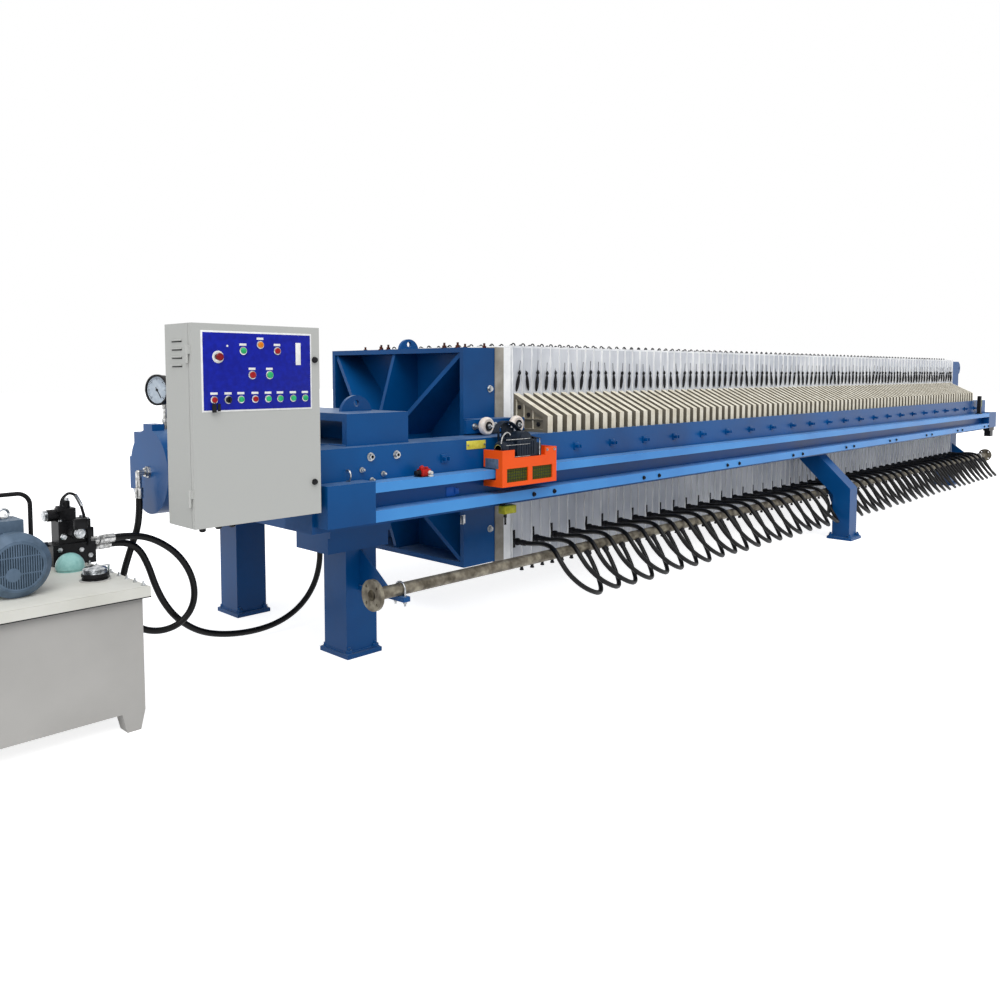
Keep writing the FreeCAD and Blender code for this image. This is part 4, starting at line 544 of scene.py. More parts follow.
foot_bolts = []
for x, y, dx, dy in ((LEG_STATION, LEG_Y, 82.5, 95), (TAIL_LEG_STATION, LEG_Y, 82.5, 95),
                     (MID_LEG_STATION, MID_FOOT_Y, 82, 82)):
    foot_bolts += [(x + dx * a, side * y + dy * b, BASE_THICK)
                   for side in (-1, 1) for a in (-1, 1) for b in (-1, 1)]
bolts("foot_anchor_nuts", foot_bolts, (0, 0, 1), 30, frame_blue, "frame", "frame_blue", thread=14)
bolts("beam_face_bolts", [(x, side * BEAM_FACE, 1032) for side in (-1, 1) for x in (79, 233)],
      [(0, side, 0) for side in (-1, 1) for x in range(2)], 26, zinc_steel, "frame", "frame_blue")


def row_tree():
    """Copies of one drawn shape in a row along the machine, each turned and sized a little."""
    tree, given = tree_with("row_along_machine", Start="Vector", Count="Int", Pitch="Float",
                            Turn="Vector", Uneven="Float", Seed="Int", Finish="Material")
    back = add(tree, "ShaderNodeVectorMath", {0: given["Turn"], "Scale": -1.0}, operation="SCALE")
    turned = add(tree, "FunctionNodeRandomValue", {0: back.outputs[0], 1: given["Turn"],
                                                   "Seed": given["Seed"]}, data_type="FLOAT_VECTOR")
    least = add(tree, "ShaderNodeMath", {0: 1.0, 1: given["Uneven"]}, operation="SUBTRACT")
    most = add(tree, "ShaderNodeMath", {0: 1.0, 1: given["Uneven"]}, operation="ADD")
    sized = add(tree, "FunctionNodeRandomValue", {2: least.outputs[0], 3: most.outputs[0],
                                                  "Seed": given["Seed"]}, data_type="FLOAT")
    row = add(tree, "GeometryNodeInstanceOnPoints",
              {"Points": points_along(tree, given), "Instance": given["Shape"],
               "Rotation": turned.outputs[0], "Scale": sized.outputs[1]})
    solid = add(tree, "GeometryNodeRealizeInstances", {0: row.outputs[0]})
    return send_out(tree, solid.outputs[0], given["Finish"])


along_machine = row_tree()


def row(name, form, start, pitch, count, material, body, slot, turn=(0.0, 0.0, 0.0), uneven=0.0,
        seed=1):
    """A row of one shape, drawn in millimetres about its own foot."""
    bmesh.ops.recalc_face_normals(form, faces=form.faces)
    form.transform(Matrix.Scale(0.001, 4))
    mesh = bpy.data.meshes.new(name)
    form.to_mesh(mesh)
    form.free()
    return grown(name, mesh, along_machine, {
        "Start": ((start[0] - MIDDLE) / 1000, start[1] / 1000, start[2] / 1000), "Count": count,
        "Pitch": pitch / 1000, "Turn": turn, "Uneven": uneven, "Seed": seed, "Finish": material},
        material, body, slot)


# Forked brackets that once held the plates' drip trays, welded along the beam's outer face.
fork = bmesh.new()
slab(fork, (-20, -8, -22), (20, 0, 22), 1.5)
for x in (-13, 13):
    slab(fork, (x - 3, -34, -10), (x + 3, -7, 10), 1.0)
row("beam_forks_near", fork, (537, -BEAM_FACE, 992), 350, 26, frame_blue, "frame", "frame_blue")

# Weld beads round the seat, the legs and the beams, ground only where a part is bolted on.
beads = bmesh.new()
BEAD = 5.0
for side in (-1, 1):
    for x in (0, 368):
        bent(beads, [(x, side * 692, 1082), (x, side * 760, 1083), (x, side * 830, 1082)], BEAD, 6,
             4)
    for x, out, half in ((LEG_STATION, LEG_Y, 95), (TAIL_LEG_STATION, LEG_Y, 95),
                         (MID_LEG_STATION, MID_FOOT_Y, 75)):
        y, z = side * out, BASE_THICK + 2
        ring = [(x - half, y - half, z), (x + half, y - half, z),
                (x + half, y + half, z), (x - half, y + half, z)]
        for a, b in zip(ring, ring[1:] + ring[:1]):
            rod(beads, a, b, BEAD, 6)
piece("weld_beads", beads, frame_blue, "frame", "frame_blue")

# ------------------------------------------------------------------ thrust plate and follower
# Ribbed box plates welded from thick steel.  The front one is pushed by the cylinder's rod and
# runs on two side arms; the rear one is fixed between the beams and takes the feed flange.
plate_blue = blue_enamel("blue_enamel_on_ribbed_plate", "00508E", "003C70", 0.36)
dress(plate_blue, "pressing_plate", "thrust_plate", "follower_arms", "follower_lug")
dress(frame_blue, "rail_webs", "rail_end_blocks", "cylinder_barrel", "cylinder_cap",
      "cylinder_gland")

FOLLOWER_TOP = 1562.0
FOLLOWER_SIDE = 619.0                # centre line to the side of the ribbed plate
ARM_FACE = 735.0                     # centre line to the outer face of a roller arm
bolts("follower_rim_studs", [(960, y, FOLLOWER_TOP) for y in (124, 56, -449, -560)]
      + [(1170, y, FOLLOWER_TOP) for y in (-560, -400, 400, 560)], (0, 0, 1), 22,
      plated_steel("oxidised_stud_steel", "5A2F26", "2E2422", 0.5), "follower", "fitting_black",
      thread=16)
bolts("follower_side_bolts",
      [(1155, side * FOLLOWER_SIDE, z) for side in (-1, 1) for z in (1330, 1120, 760, 520)],
      [(0, side, 0) for side in (-1, 1) for z in range(4)], 26, zinc_steel, "follower",
      "fitting_steel", thread=4)
arm_bolts = [(x, side * ARM_FACE, 1128) for side in (-1, 1) for x in (920, 1080, 1130)]
bolts("arm_bolts", arm_bolts, [(0, side, 0) for side in (-1, 1) for x in range(3)], 24, zinc_steel,
      "follower", "fitting_steel", thread=6)

# ------------------------------------------------------------------ hydraulic cylinder and gauge
# A honed barrel with a welded cap, its hard-chromed rod, and a glycerine gauge on a brass stem.
AXIS_Z = 943.0


def hard_chrome():
    """Ground and polished chrome on the rod: nearly a mirror, with faint rings from grinding."""
    material, tree, shader, place = finish("hard_chrome_on_ground_steel", 0.12, 1.0)
    shader.inputs["Base Color"].default_value = rgb("C9CCCE")
    rings = add(tree, "ShaderNodeTexWave", {"Vector": place, "Scale": 320.0, "Distortion": 0.4},
                bands_direction="X")
    worn = add(tree, "ShaderNodeMapRange",
               {"Value": rings.outputs[0], "To Min": 0.09, "To Max": 0.17})
    tree.links.new(worn.outputs[0], shader.inputs["Roughness"])
    return material


dress(hard_chrome(), "piston_rod")
fitting_steel = plated_steel("bright_hose_fitting_steel", "D0D0CF", "8A8A88", 0.24)
dress(fitting_steel, "hose_fittings")
unions = bmesh.new()
for y, z in ((-80, 662), (-30, 626)):
    lathed(unions, (-872, y, z), (1, 0, 0),
           [(0, 18), (22, 18), (24, 14), (34, 14), (36, 20), (50, 20), (52, 15), (56, 15)], 6)
    lathed(unions, (-822, y, z), (1, 0, 0), [(0, 20)] + [(4 + 5 * k, 20.6 if k % 2 else 19.4)
                                                          for k in range(9)] + [(50, 20)], 20)
lathed(unions, (-564, 0, AXIS_Z), (-1, 0, 0), [(0, 30), (10, 30), (12, 24), (22, 24)], 6)
for x, z in ((-614, 825), (390, 712)):
    lathed(unions, (x, 0, z), (0, 0, 1), [(0, 20)] + [(4 + 5 * k, 20.6 if k % 2 else 19.4)
                                                       for k in range(8)] + [(44, 20)], 20)
piece("crimped_hose_ends", unions, fitting_steel, "frame", "fitting_steel")
gland_bolts = [(412, 128 * math.cos(a), AXIS_Z + 128 * math.sin(a))
               for a in [math.tau * (k + 0.5) / 12 for k in range(12)]]
bolts("gland_bolts", gland_bolts, (1, 0, 0), 19, zinc_steel, "frame", "fitting_steel")


def coloured(name, light, dark, roughness, size=0.02, relief=0.15, metallic=0.0):
    """A plain finish in two near shades with a faint relief."""
    material, tree, shader, place = finish(name, roughness, metallic)
    mottled(tree, shader, place, light, dark, size)
    grained(tree, shader, place, size / 8, relief, 0.0003)
    return material


black_plastic = coloured("moulded_black_nylon", "1C1C1E", "101012", 0.42)
GAUGE_FOOT = (-476.0, 0.0, 1148.0)
GAUGE_MIDDLE = Vector((-476.0, 0.0, 1338.0))
gauge_turn = math.radians(19.0)
gauge_way = Vector((-math.cos(gauge_turn), -math.sin(gauge_turn), 0.0))
gauge_side = Vector((-gauge_way.y, gauge_way.x, 0.0))
case = bmesh.new()
lathed(case, GAUGE_MIDDLE, gauge_way, [(0, 0), (0, 66), (4, 71), (34, 71), (36, 75), (50, 75),
                                       (52, 73), (52, 67), (43.5, 66), (43.5, 0)], 40)
case = piece("gauge_case", case, black_plastic, "frame", "fitting_black")
dial = bmesh.new()
lathed(dial, GAUGE_MIDDLE + gauge_way * 44.2, gauge_way, [(0, 0), (0, 65), (0.6, 65), (0.6, 0)], 40)
dial = piece("gauge_dial", dial, coloured("printed_dial_enamel", "C3CDD6", "AEBAC6", 0.5), "frame",
             "fitting_steel")
marks = bmesh.new()
for k in range(31):
    angle = math.radians(225 - 9 * k)
    long = 13 if k % 5 == 0 else 7
    way = gauge_side * -math.cos(angle) + Vector((0, 0, 1)) * math.sin(angle)
    start = GAUGE_MIDDLE + gauge_way * 45.2 + way * (60 - long)
    rod(marks, start, start + way * long, 1.3 if k % 5 == 0 else 0.8, 5)
needle_way = gauge_side * 0.55 + Vector((0, 0, -0.84))
hub = GAUGE_MIDDLE + gauge_way * 46.4
rod(marks, hub - needle_way * 15, hub + needle_way * 46, 1.7, 6)
rod(marks, hub - gauge_way, hub + gauge_way * 3, 6, 14)
marks = piece("gauge_needle_and_marks", marks, black_plastic, "frame", "fitting_black")
stem = bmesh.new()
lathed(stem, GAUGE_FOOT, (0, 0, 1),
       [(0, 20), (22, 20), (24, 12), (30, 12), (32, 16), (50, 16), (52, 9), (96, 9), (98, 14),
        (118, 14), (120, 10), (122, 10)], 12)
stem = piece("gauge_stem", stem, fitting_steel, "frame", "fitting_steel")
for part in (case, dial, marks, stem):
    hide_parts("pressure_gauge")

# ------------------------------------------------------------------ follower rollers
# Crowned wheels turned from white cast nylon.  Each spins on a steel axle in the side arm and
# is held by a black washer; the beam's top has worn their tread grey.
ROLLER_MIDDLES = {"front_rollers": 969.0, "rear_rollers": 1209.0}
ROLLER_Z = 1130.3
WHEEL_INNER, WASHER_INNER = 757.0, 796.5
AXLE_INNER, AXLE_TIP = 715.5, 799.5


def cast_nylon():
    """Cast polyamide: creamy white, a little light goes in."""
    material, tree, shader, place = finish("cast_nylon", 0.4)
    mottled(tree, shader, place, "F1E9E0", "DCCFC4", 0.05)
    shader.inputs["Subsurface Weight"].default_value = 0.15
    shader.inputs["Subsurface Radius"].default_value = (0.01, 0.008, 0.006)
    grained(tree, shader, place, 0.003, 0.15, 0.0003)
    return material


nylon = cast_nylon()
for body, x in ROLLER_MIDDLES.items():
    wheel, axle, collar = bmesh.new(), bmesh.new(), bmesh.new()
    for side in (-1, 1):
        inner, out = (x, side * WHEEL_INNER, ROLLER_Z), (0, side, 0)
        lathed(wheel, inner, out,
               [(0, 18), (0, 40), (2, 44), (8, 48), (15, 49.6), (25, 49.6), (32, 48), (38, 44),
                (40, 38), (37, 30), (37, 18)], 40)
        lathed(axle, (x, side * AXLE_INNER, ROLLER_Z), out, [(0, 15), (83, 15), (84, 14)], 20)
        lathed(axle, (x, side * AXLE_TIP, ROLLER_Z), out,
               [(0, 13), (3, 13), (4, 6), (20, 6), (22, 4)], 16)
        lathed(collar, (x, side * WASHER_INNER, ROLLER_Z), out,
               [(0, 26), (3, 26), (4, 25), (4, 12)], 28)
    label = body.replace("_rollers", "")
    wheel = piece(label + "_nylon_wheels", wheel, nylon, body, "roller_nylon")
    axle = piece(label + "_wheel_axles", axle, zinc_steel, body, "fitting_steel")
    collar = piece(label + "_wheel_washers", collar, black_plastic, body, "fitting_black")
    for part in (wheel, axle, collar):
        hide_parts("follower_rollers_" + label)

# ------------------------------------------------------------------ plates, cloths and ties
# Membrane plates moulded from polypropylene.  A woven cloth hangs over each and shows as a
# frayed hem round the plate, hooked along the top and tied at both sides.


def polypropylene():
    """Pressed polypropylene: a chalky pale grey with upright streaks of dried washings."""
    material, tree, shader, place = finish("pressed_polypropylene", 0.55)
    noise, ramp = mottled(tree, shader, place, "D6D8DC", "B8BCC4", 0.4)
    squeezed = add(tree, "ShaderNodeMapping", {"Vector": place, "Scale": (1.0, 1.0, 0.04)})
    streaks = add(tree, "ShaderNodeTexNoise", {"Vector": squeezed.outputs[0], "Scale": 42.0,
                                               "Detail": 3.0})
    thin = add(tree, "ShaderNodeMapRange", {"Value": streaks.outputs[0], "From Min": 0.55,
                                            "From Max": 0.75, "To Max": 0.45})
    mixed = add(tree, "ShaderNodeMix", {"Factor": thin.outputs[0], 6: ramp.outputs[0],
                                        7: rgb("8D929C")}, data_type="RGBA")
    tree.links.new(mixed.outputs[2], shader.inputs["Base Color"])
    grained(tree, shader, place, 0.006, 0.2, 0.0005)
    return material


def woven_cloth(name, light, dark):
    """Woven polypropylene filter cloth: bright white, threads 1 mm apart drawn 4 mm apart."""
    material, tree, shader, place = finish(name, 0.85)
    mottled(tree, shader, place, light, dark, 0.08)
    across = add(tree, "ShaderNodeTexWave", {"Vector": place, "Scale": 40.0}, bands_direction="Y")
    upward = add(tree, "ShaderNodeTexWave", {"Vector": place, "Scale": 40.0}, bands_direction="Z")
    woven = add(tree, "ShaderNodeMath", {0: across.outputs[1], 1: upward.outputs[1]},
                operation="MULTIPLY")
    bump = add(tree, "ShaderNodeBump",
               {"Strength": 0.4, "Distance": 0.001, "Height": woven.outputs[0]})
    tree.links.new(bump.outputs[0], shader.inputs["Normal"])
    shader.inputs["Sheen Weight"].default_value = 0.2
    return material


def resin_plate():
    """The head plate is laminated and stained by the press water: grey-brown, streaked."""
    material, tree, shader, place = finish("stained_laminate", 0.6)
    noise, ramp = mottled(tree, shader, place, "A39D93", "7C766C", 0.12)
    ramp.color_ramp.elements.new(0.5).color = rgb("8E897F")
    grained(tree, shader, place, 0.01, 0.3, 0.0008)
    return material


cloth_white = woven_cloth("woven_polypropylene_cloth", "FBFBFA", "EDEEEE")
dress(polypropylene(), "filter_plates")
dress(cloth_white, "head_cloth_plate", "end_plate")
dress(resin_plate(), "head_plate")


def hem_tree():
    """A frayed strip round every plate: a square path set along the row, its outer edge uneven."""
    tree, given = tree_with("cloth_hems", Start="Vector", Count="Int", Pitch="Float", Half="Float",
                            Stand_Out="Float", Fray="Float", Ripple="Float", Finish="Material")
    placed = add(tree, "GeometryNodeInstanceOnPoints", {"Points": points_along(tree, given),
                                                        "Instance": given["Shape"]})
    solid = add(tree, "GeometryNodeRealizeInstances", {0: placed.outputs[0]})
    outer = add(tree, "GeometryNodeInputNamedAttribute", {"Name": "outer"}, data_type="FLOAT")
    place = add(tree, "GeometryNodeInputPosition")
    frayed = add(tree, "ShaderNodeTexNoise",
                 {"Vector": place.outputs[0], "Scale": 38.0, "Detail": 3.0})
    spread = add(tree, "ShaderNodeVectorMath", {0: frayed.outputs[1], 1: (0.5, 0.5, 0.5)},
                 operation="SUBTRACT")
    sizes = add(tree, "ShaderNodeCombineXYZ",
                {0: given["Ripple"], 1: given["Fray"], 2: given["Fray"]})
    moved = add(tree, "ShaderNodeVectorMath", {0: spread.outputs[0], 1: sizes.outputs[0]},
                operation="MULTIPLY")
    moved = add(tree, "ShaderNodeVectorMath", {0: moved.outputs[0], "Scale": outer.outputs[0]},
                operation="SCALE")
    waved = add(tree, "GeometryNodeSetPosition", {"Geometry": solid.outputs[0],
                                                  "Offset": moved.outputs[0]})
    return send_out(tree, waved.outputs[0], given["Finish"])


HEM = 13.0
hem = bpy.data.meshes.new("hem_round_a_plate")
half, low, high = PLATE_HALF, 318.0, 1568.0
spots, outward = [], []
for a, b, out in (((-half, low), (-half, high), (-1, 0)), ((-half, high), (half, high), (0, 1)),
                  ((half, high), (half, low), (1, 0))):
    for k in range(30):
        spots.append((a[0] + (b[0] - a[0]) * k / 30, a[1] + (b[1] - a[1]) * k / 30))
        outward.append(out)
spots.append((half, low))
outward.append((1, 0))
for k in (30, 60):
    outward[k] = (outward[k - 1][0] + outward[k + 1][0], outward[k - 1][1] + outward[k + 1][1])
points, faces = [], []
for (y, z), (oy, oz) in zip(spots, outward):
    for share in (0.0, 0.5, 1.0):
        points.append((0.0, (y + oy * HEM * share) / 1000, (z + oz * HEM * share) / 1000))
for k in range(len(spots) - 1):
    for j in range(2):
        faces.append((3 * k + j, 3 * k + j + 1, 3 * k + j + 4, 3 * k + j + 3))
hem.from_pydata(points, [], faces)
edge = hem.attributes.new("outer", "FLOAT", "POINT")
for k, point in enumerate(edge.data):
    point.value = (0.0, 0.45, 1.0)[k % 3]
hem_count = PLATE_COUNT + 1
hems = grown("cloth_hems", hem, hem_tree(), {
    "Start": ((STACK_FRONT - 0.3 - MIDDLE) / 1000, 0.0, 0.0), "Count": hem_count,
    "Pitch": PLATE_PITCH / 1000, "Fray": 0.012, "Ripple": 0.022, "Finish": cloth_white},
    cloth_white, "frame", "cloth_white")

dark_iron = coloured("black_oxide_steel", "26262A", "141417", 0.5, metallic=0.4)
hooks = bmesh.new()
for y in (-560, -380, -200, 0, 200, 380, 560):
    bent(hooks, [(-16, y, 2), (-16, y, 22), (0, y, 30), (16, y, 22), (16, y, 2)], 4, 6, 3)
row("cloth_hooks", hooks, (STACK_FRONT + PLATE_PITCH, 0, 1568), PLATE_PITCH, PLATE_COUNT - 1,
    dark_iron, "frame", "fitting_black", uneven=0.0)
for side, label in ((-1, "near"), (1, "far")):
    tie = bmesh.new()
    lathed(tie, (0, 0, -52), (0.05, 0, 1),
           [(0, 0), (6, 5), (24, 9), (58, 11), (84, 8), (98, 4.5), (104, 9), (112, 10.5),
            (120, 6.5), (128, 0)], 7)
    rod(tie, (0, 0, 60), (2, -side * 1, 128), 1.6, 4)
    row(f"cloth_ties_{label}", tie, (STACK_FRONT + PLATE_PITCH / 2, side * 634, 1362), PLATE_PITCH,
        PLATE_COUNT, black_plastic, "frame", "fitting_black", turn=(0.10, 0.14, 0.5), uneven=0.07,
        seed=4)

# ------------------------------------------------------------------ plate handles
# Ivory polypropylene castings bolted to the plates' sides.  They stand on the beams, open on one
# face between ribs, with a bright rubbed flange along their slope; their faces that look along the
# machine carry painted shade.


def ivory_plastic():
    """Cast ivory plastic: warm off-white, darker towards the beam, with painted shade on faces that
    look along the machine, in the pockets and between handles.
    """
    material, tree, shader, place = finish("cast_ivory_polypropylene", 0.45)
    noise, ramp = mottled(tree, shader, place, "E9E3D2", "D2CAB6", 0.06)
    height = add(tree, "ShaderNodeSeparateXYZ", {0: place})
    low = add(tree, "ShaderNodeMapRange", {"Value": height.outputs["Z"], "From Min": 1.08,
                                           "From Max": 1.17, "To Min": 0.55, "To Max": 0.0})
    amount = add(tree, "ShaderNodeMath", {0: low.outputs[0], 1: noise.outputs[0]},
                 operation="MULTIPLY")
    mixed = add(tree, "ShaderNodeMix", {"Factor": amount.outputs[0], 6: ramp.outputs[0],
                                        7: rgb("8B8473")}, data_type="RGBA")
    # Painted shade: faces that look along the machine, in the pockets and the gaps between handles,
    # are mixed towards a dark brown.
    facing = add(tree, "ShaderNodeNewGeometry")
    across = add(tree, "ShaderNodeSeparateXYZ", {0: facing.outputs["Normal"]})
    flat = add(tree, "ShaderNodeMath", {0: across.outputs["X"]}, operation="ABSOLUTE")
    soiled = add(tree, "ShaderNodeMapRange", {"Value": flat.outputs[0], "From Min": 0.6,
                                              "From Max": 0.9, "To Max": 0.86})
    brown = add(tree, "ShaderNodeMix", {"Factor": soiled.outputs[0], 6: mixed.outputs[2],
                                        7: rgb("5C5547")}, data_type="RGBA")
    tree.links.new(brown.outputs[2], shader.inputs["Base Color"])
    grained(tree, shader, place, 0.004, 0.2, 0.0004)
    return material


ivory = ivory_plastic()
dress(ivory, "plate_handles")
HANDLE_FRONT = STACK_FRONT + 21.0
for side, label in ((-1, "near"), (1, "far")):
    ribs, heads = bmesh.new(), bmesh.new()
    for out, top in ((700, 1242), (770, 1206)):
        slab(ribs, (0.5, side * out - 3, 1098), (11.5, side * out + 3, top))
    slab(ribs, (0.5, min(side * 643, side * 854), 1150), (10, max(side * 643, side * 854), 1156))
    row(f"handle_ribs_{label}", ribs, (HANDLE_FRONT, 0, 0), PLATE_PITCH, PLATE_COUNT, ivory,
        "frame", "handle_ivory")
    for out, up in ((663, 1220), (663, 1125), (735, 1178), (812, 1125)):
        lathed(heads, (11.5, side * out, up), (-1, 0, 0), [(0, 13), (7, 13), (9, 10), (9, 0)], 8)
    row(f"handle_bolts_{label}", heads, (HANDLE_FRONT, 0, 0), PLATE_PITCH, PLATE_COUNT, dark_iron,
        "frame", "fitting_black")

# ------------------------------------------------------------------ squeeze pipe
# Stainless tube with pressed-on flanges, as it came from the mill: brown weld heat and grey
# scale.  It lies in the legs' brackets under U-bolts, with a threaded nipple for every plate.


def mill_stainless():
    """Pickled stainless tube: mottled grey-brown with a dull shine."""
    material, tree, shader, place = finish("pickled_stainless_tube", 0.42, 0.45)
    noise, ramp = mottled(tree, shader, place, "96907F", "4F493E", 0.045, 0.3, 0.7)
    ramp.color_ramp.elements.new(0.5).color = rgb("746D60")
    worn = add(tree, "ShaderNodeMapRange",
               {"Value": noise.outputs[0], "To Min": 0.55, "To Max": 0.3})
    tree.links.new(worn.outputs[0], shader.inputs["Roughness"])
    grained(tree, shader, place, 0.006, 0.3, 0.0006)
    return material


stainless = mill_stainless()
dress(stainless, "manifold_pipe", "manifold_flanges", "feed_flange")
dress(zinc_steel, "manifold_clamps")
dress(black_plastic, "hose_tees")
PIPE_Y, PIPE_Z, PIPE_RADIUS = -933.0, 388.0, 30.0
clamp_nuts = [(x, PIPE_Y + s * 35.3, 333) for x in (227.5, 9445) for s in (-1, 1)]
bolts("clamp_nuts", clamp_nuts, (0, 0, -1), 17, zinc_steel, "frame", "fitting_steel", thread=12)
nipple = bmesh.new()
lathed(nipple, (0, 0, 2), (0, 0, -1), [(0, 9), (12, 9), (13, 12), (21, 12), (22, 8), (24, 0)], 8)
row("pipe_nipples", nipple, (1086, PIPE_Y, PIPE_Z - PIPE_RADIUS), PLATE_PITCH, 97, dark_iron,
    "frame", "fitting_black", uneven=0.06)
ferrule, lean = bmesh.new(), math.radians(40)
foot = Vector((0, -math.sin(lean), -math.cos(lean)))
lathed(ferrule, foot * 29.5, foot, [(0, 18), (8, 18), (9, 15.6), (30, 15.6), (31, 14.4)], 12)
row("lower_ferrules", ferrule, (TEE_STATION + 283, PIPE_Y, PIPE_Z), 2 * PLATE_PITCH, HOSE_COUNT,
    dark_iron, "frame", "fitting_black")
weld = bmesh.new()
for x in (74, 9716):
    lathed(weld, (x, PIPE_Y, PIPE_Z), (1, 0, 0),
           [(0, 33), (5, 36), (10, 33), (10, 30.2), (0, 30.2)], 28)
piece("flange_welds", weld, stainless, "frame", "pipe_stainless")
strap = bmesh.new()
slab(strap, (-9, -6, -40), (9, -0.5, 66), 1.0)
lathed(strap, (0, -22, 0), (0, -1, 0), [(0, 21), (3, 22), (15, 22), (18, 21)], 10)
lathed(strap, (0, -66, 0), (0, -1, 0), [(0, 17), (3, 18)] + [(6 + 3 * k, 17.6 if k % 2 else 16.4)
                                                            for k in range(9)] + [(34, 15)], 12)
row("coupling_straps", strap, (TEE_STATION, -PLATE_HALF, 422), 2 * PLATE_PITCH, HOSE_COUNT,
    dark_iron, "frame", "fitting_black", turn=(0.0, 0.05, 0.0), uneven=0.0, seed=9)

# ------------------------------------------------------------------ shuttle rails
# Bright blue bars bolted along the beams' outer faces.  Their enamel is lighter than the frame's,
# partly its own colour and partly painted light for the light their glossy faces catch.  The
# shuttle's wheels polish the upper one; switches and sensors stand on it at both ends.
# Painted light: this enamel is lighter than the frame's blue, partly its own colour and partly
# standing in for the light the glossy bars catch.
rail_blue = blue_enamel("light_blue_rail_enamel", "4A93D6", "3A7FC4", 0.3)
dress(rail_blue, "rail_bars")
rail_bolts = [(x + d, side * 1004, 764) for side in (-1, 1) for x in range(1105, 9400, 1035)
              for d in (0, 170)]
bolts("rail_bolts", rail_bolts, [(0, -1, 0) if y < 0 else (0, 1, 0) for x, y, z in rail_bolts], 17,
      dark_iron, "frame", "fitting_black")
dress(black_plastic, "tail_posts", "chain_tensioners")

switch_red = coloured("red_moulded_switch_body", "B8231C", "9A1A15", 0.35)
pale_plastic = coloured("pale_grey_polyamide", "D8D8D2", "C4C4BE", 0.45)
body = bmesh.new()
slab(body, (331, -982, 922), (385, -938, 958), 4)
lathed(body, (345, -960, 958), (0, 0, 1), [(0, 14), (8, 14), (12, 11), (18, 4), (18, 0)], 20)
lathed(body, (372, -960, 956), (0, 0, 1), [(0, 11), (9, 11), (11, 9), (11, 0)], 16)
body = piece("switch_body", body, switch_red, "frame", "switch_red")
nose = bmesh.new()
lathed(nose, (332, -960, 941), (-1, 0, 0), [(0, 15), (12, 15), (13, 12), (28, 12), (30, 9)], 14)
slab(nose, (318, -990, 922), (385, -930, 925), 0.8)
nose = piece("switch_cable_entry", nose, black_plastic, "frame", "fitting_black")
gland = bmesh.new()
lathed(gland, (374, -982, 941), (0, -1, 0), [(0, 10), (8, 10), (9, 8), (20, 8), (22, 6), (22, 0)],
       8)
slab(gland, (362, -1000, 922), (384, -984, 930), 1)
gland = piece("switch_fitting", gland, pale_plastic, "frame", "fitting_steel")
for part in (body, nose, gland):
    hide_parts("limit_switch")

small = bmesh.new()
slab(small, (540, -921, 800), (604, -BEAM_FACE, 846), 2)
slab(small, (596, -927, 808), (622, -BEAM_FACE, 838), 2)
piece("rail_junction_box", small, blue_enamel("blue_box_enamel", "1D62B4", "164F9A"), "frame",
      "frame_blue")
tag = bmesh.new()
slab(tag, (694, -908, 1026), (832, -BEAM_FACE, 1070), 1.0)
piece("blank_yellow_plate", tag, coloured("yellow_enamelled_plate", "D9CF57", "C4B93F", 0.4),
      "frame", "fitting_steel")
bolts("plate_rivets", [(x, -908, 1048) for x in (704, 822)], (0, -1, 0), 7, zinc_steel, "frame",
      "fitting_steel")
bracket = bmesh.new()
slab(bracket, (648, -909, 646), (682, -BEAM_FACE, 690), 1)
slab(bracket, (648, -930, 646), (652, -BEAM_FACE, 690), 1)
piece("bright_cable_clip", bracket, zinc_steel, "frame", "fitting_steel")
sensor = bmesh.new()
slab(sensor, (922, -960, 668), (1016, -912, 712), 4)
piece("rail_sensor", sensor, coloured("olive_yellow_housing", "A8A62E", "8C8A22", 0.4), "frame",
      "fitting_steel")
stalk = bmesh.new()
slab(stalk, (930, -930, 712), (960, -914, 742), 1)
lathed(stalk, (952, -936, 668), (0, 0, -1), [(0, 9), (20, 9), (22, 6), (60, 6)], 10)
piece("rail_sensor_stalk", stalk, black_plastic, "frame", "fitting_black")
oiler = bmesh.new()
for x, z in ((26, 975), (83, 924), (150, 948)):
    lathed(oiler, (x, -BEAM_FACE, z), (0, -1, 0),
           [(0, 13), (6, 13), (7, 9), (18, 9), (19, 6), (26, 6), (28, 3)], 8)
bent(oiler,
     [(-58, -BEAM_FACE, 930), (-58, -930, 930), (-58, -940, 960), (-58, -925, 985),
      (-58, -BEAM_FACE, 980)], 4, 8)
piece("beam_grease_nipples", oiler, zinc_steel, "frame", "fitting_steel")
tail_sensor = bmesh.new()
slab(tail_sensor, (9338, -972, 1010), (9378, -936, 1090), 4)
slab(tail_sensor, (9328, -962, 1030), (9342, -946, 1060), 1)
piece("tail_sensor", tail_sensor, coloured("yellow_green_housing", "B9C84A", "9EAD38", 0.4),
      "frame", "fitting_steel")

# ------------------------------------------------------------------ plate shuttles
# A folded orange carriage runs on each rail and pulls the plates apart one by one.  Its
# geared motor sits in the tray under a dark hood, and olive mesh closes the two windows.
DRIVE_AXIS = (1001, 1024)            # outward and upward
CARRIAGE_FACE = 1061.0


def on_side(side):
    """Makers of points and of boxes counted outward from the centre line on one side."""
    def at(x, out, z):
        return (x, side * out, z)

    def block(form, x, out, z, edge=0.8):
        near, far = sorted((side * out[0], side * out[1]))
        slab(form, (x[0], near, z[0]), (x[1], far, z[1]), edge)

    return at, block


